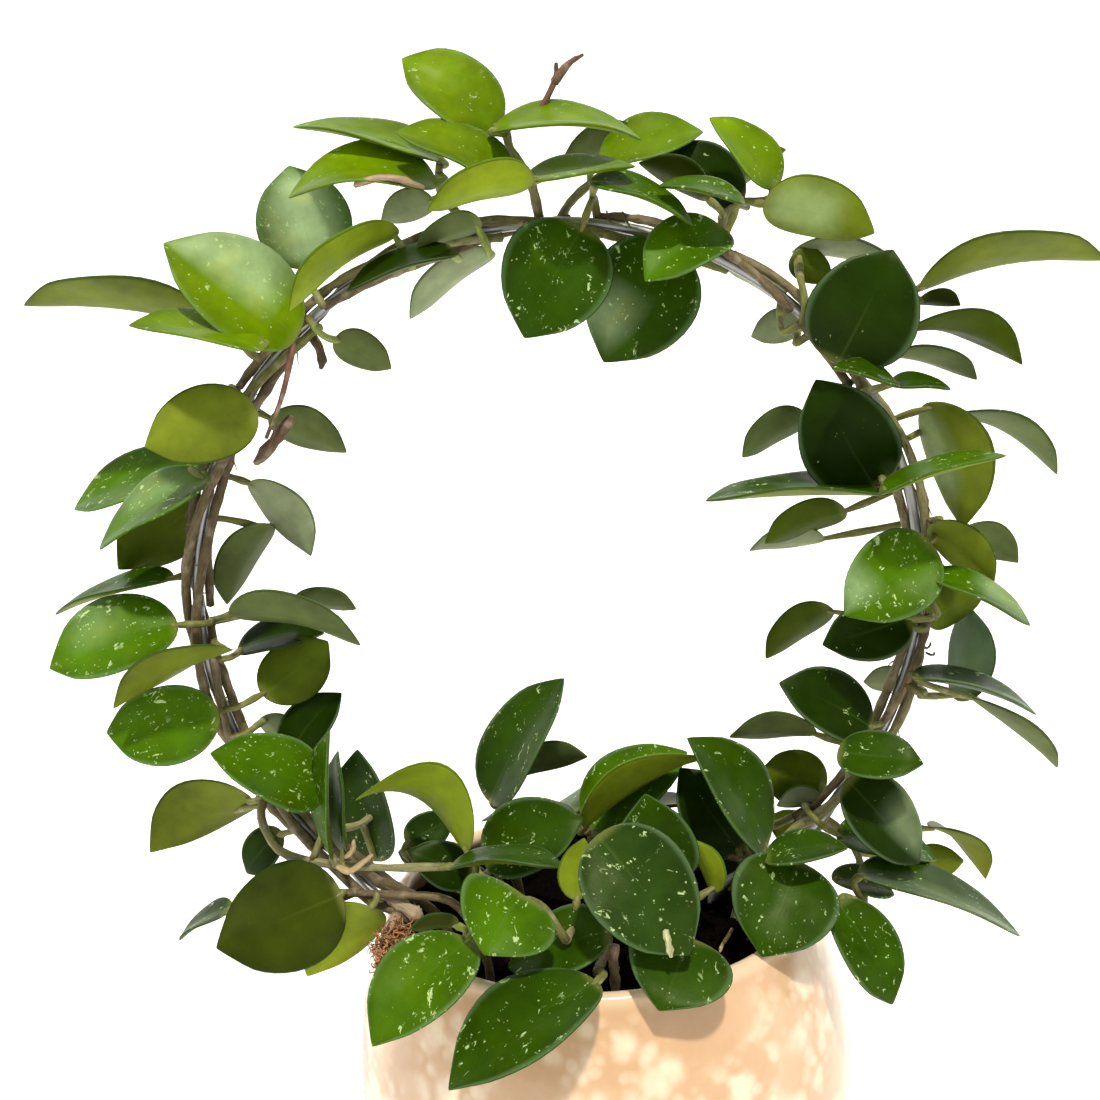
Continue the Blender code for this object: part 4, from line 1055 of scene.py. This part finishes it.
def make_dead_stub(bark):
    """The cut end of a dead stem, standing in the soil just inside the lip."""
    skin = Skin(30)
    path = smooth_path([*reversed(rooted_end(2.5, -48)), spot(2.2, -48.3, 113), spot(2.8, -48.5, 118)], 5)
    radii = 1.3 * MM * (1 + 0.12 * skin.random.normal(size=len(path)))
    skin.tube(path, radii, [(0.35, 0.26, 0.16), (0.6, 0.45, 0.3)], sides=12, roughness=0.06)
    skin.made("cut_stub", [bark], ["dead_stub"], "dead_stem")


def make_root_tuft(bark):
    """A tangle of dry, curly roots over the lip at the left, round a small woody knot."""
    skin = Skin(31)
    centre = np.array(spot(-59.5, -29, 109.5))
    woody = [(-65, 114, -14), (-61, 110.5, -17), (-57, 107, -19), (-54.5, 105, -20)]
    path = smooth_path([seen_at(*place) for place in woody], 5)
    shades = [TAN_STEM, (0.5, 0.38, 0.25), (0.42, 0.3, 0.2)]
    skin.tube(path, MM * np.array([1.6, 2.3, 1.9, 2.4, 1.5]), shades, sides=12, roughness=0.1)
    knot = smooth_path([spot(-59, -21, 117), spot(-60, -25, 114.5), spot(-61, -29, 113)], 4)
    shades = [BARK, (0.5, 0.33, 0.22), (0.4, 0.25, 0.15)]
    skin.tube(knot, MM * np.array([1.4, 2.2, 1.5]), shades, sides=10, roughness=0.1)
    for _ in range(DRY_ROOTS):
        way = skin.random.normal(size=3)
        way /= np.linalg.norm(way)
        if way[2] < 0.2 and math.hypot(*(centre + way * 8 * MM)[:2]) < POT_RIM_RADIUS + 1.5 * MM:
            way[2] = 0.3 + abs(way[2])
        point = centre + way * skin.random.uniform(0.5, 6) * MM * (1, 1, 1.2)
        heading = way + skin.random.normal(size=3) * 0.6
        path = [Vector(point)]
        for _ in range(6):
            heading = heading + skin.random.normal(size=3) * 1.1 - way * 0.1
            heading /= np.linalg.norm(heading)
            path.append(path[-1] + Vector(heading) * skin.random.uniform(0.5, 0.95) * MM)
        shade = np.array(DRY_ROOT) * skin.random.uniform(0.3, 1.8)
        skin.tube(path, [0.24 * MM, 0.13 * MM], [shade], sides=4)
    skin.made("dry_root_tuft", [bark], ["root_tuft"], "dry_roots")


def make_stage():
    """A pale floor that curves up into a backdrop, and soft light with a sun from the front right."""
    profile = [(-1.4, 0), (0.6, 0), (0.95, 0.05), (1.2, 0.2), (1.36, 0.5), (1.42, 1.0), (1.42, 1.7)]
    curve = smooth_path([Vector((0, y, z)) for y, z in profile], 6)
    mesh = bpy.data.meshes.new("floor")
    points = [(x, p.y, max(p.z, 0)) for p in curve for x in (-2.2, 2.2)]
    mesh.from_pydata(points, [], [(n, n + 1, n + 3, n + 2) for n in range(0, len(points) - 2, 2)])
    mesh.shade_smooth()
    floor = bpy.data.objects.new("floor", mesh)
    bpy.context.scene.collection.objects.link(floor)
    g = Graph("pale_floor", Roughness=0.8, Emission_Color=(1, 1, 1, 1), Emission_Strength=0.45)
    g.finish(g.mix(g.noise(g.where(), 6), (0.86, 0.86, 0.86), (0.9, 0.9, 0.9)))
    mesh.materials.append(g.material)

    def lamp(name, kind, power, place, **settings):
        data = bpy.data.lights.new(name, kind)
        data.energy = power
        for key, value in settings.items():
            setattr(data, key, value)
        made = bpy.data.objects.new(name, data)
        made.location = place
        made.rotation_euler = (Vector((0, 0, 0.17)) - Vector(place)).to_track_quat("-Z", "Y").to_euler()
        bpy.context.scene.collection.objects.link(made)

    lamp("sun", "SUN", SUN_POWER, (0.1, -0.55, 1.2), angle=math.radians(4), color=(1, 0.94, 0.82))
    lamp("window", "AREA", WINDOW_POWER, (-0.9, -0.3, 0.9), size=0.9, color=(0.96, 0.98, 1))
    world = bpy.data.worlds.new("studio")
    world.use_nodes = True
    background = world.node_tree.nodes["Background"]
    background.inputs["Color"].default_value = (1, 1, 1, 1)
    background.inputs["Strength"].default_value = WORLD_STRENGTH
    bpy.context.scene.world = world
    bpy.context.scene.view_settings.view_transform = "Standard"


def make_camera():
    data = bpy.data.cameras.new("camera")
    data.sensor_width = 36
    data.lens = data.sensor_width * FOCAL_PIXELS / FRAME_PIXELS
    data.clip_start = 0.01
    ahead = Vector((0, math.cos(CAMERA_PITCH), -math.sin(CAMERA_PITCH)))
    right = Vector((1, 0, 0))
    up = right.cross(ahead)
    rolled_up = up * math.cos(CAMERA_ROLL) + right * math.sin(CAMERA_ROLL)
    rolled_right = right * math.cos(CAMERA_ROLL) - up * math.sin(CAMERA_ROLL)
    turned_to = Matrix((rolled_right, rolled_up, -ahead)).transposed().to_4x4()
    turned_to.translation = VIEWPOINT
    camera = bpy.data.objects.new("camera", data)
    camera.matrix_world = turned_to
    bpy.context.scene.collection.objects.link(camera)
    bpy.context.scene.camera = camera


def main():
    for thing in list(bpy.data.objects):
        bpy.data.objects.remove(thing)
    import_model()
    leaf_skin, stem_skin = leaf_material(), stem_material()
    make_pot()
    make_soil()
    make_wire()
    make_vines(stem_skin)
    make_dead_stub(stem_skin)
    make_root_tuft(stem_skin)
    for index, (name, shoot) in enumerate(SHOOTS.items()):
        make_shoot(name, shoot, [leaf_skin, stem_skin], 100 + index)
    make_stage()
    make_camera()


main()
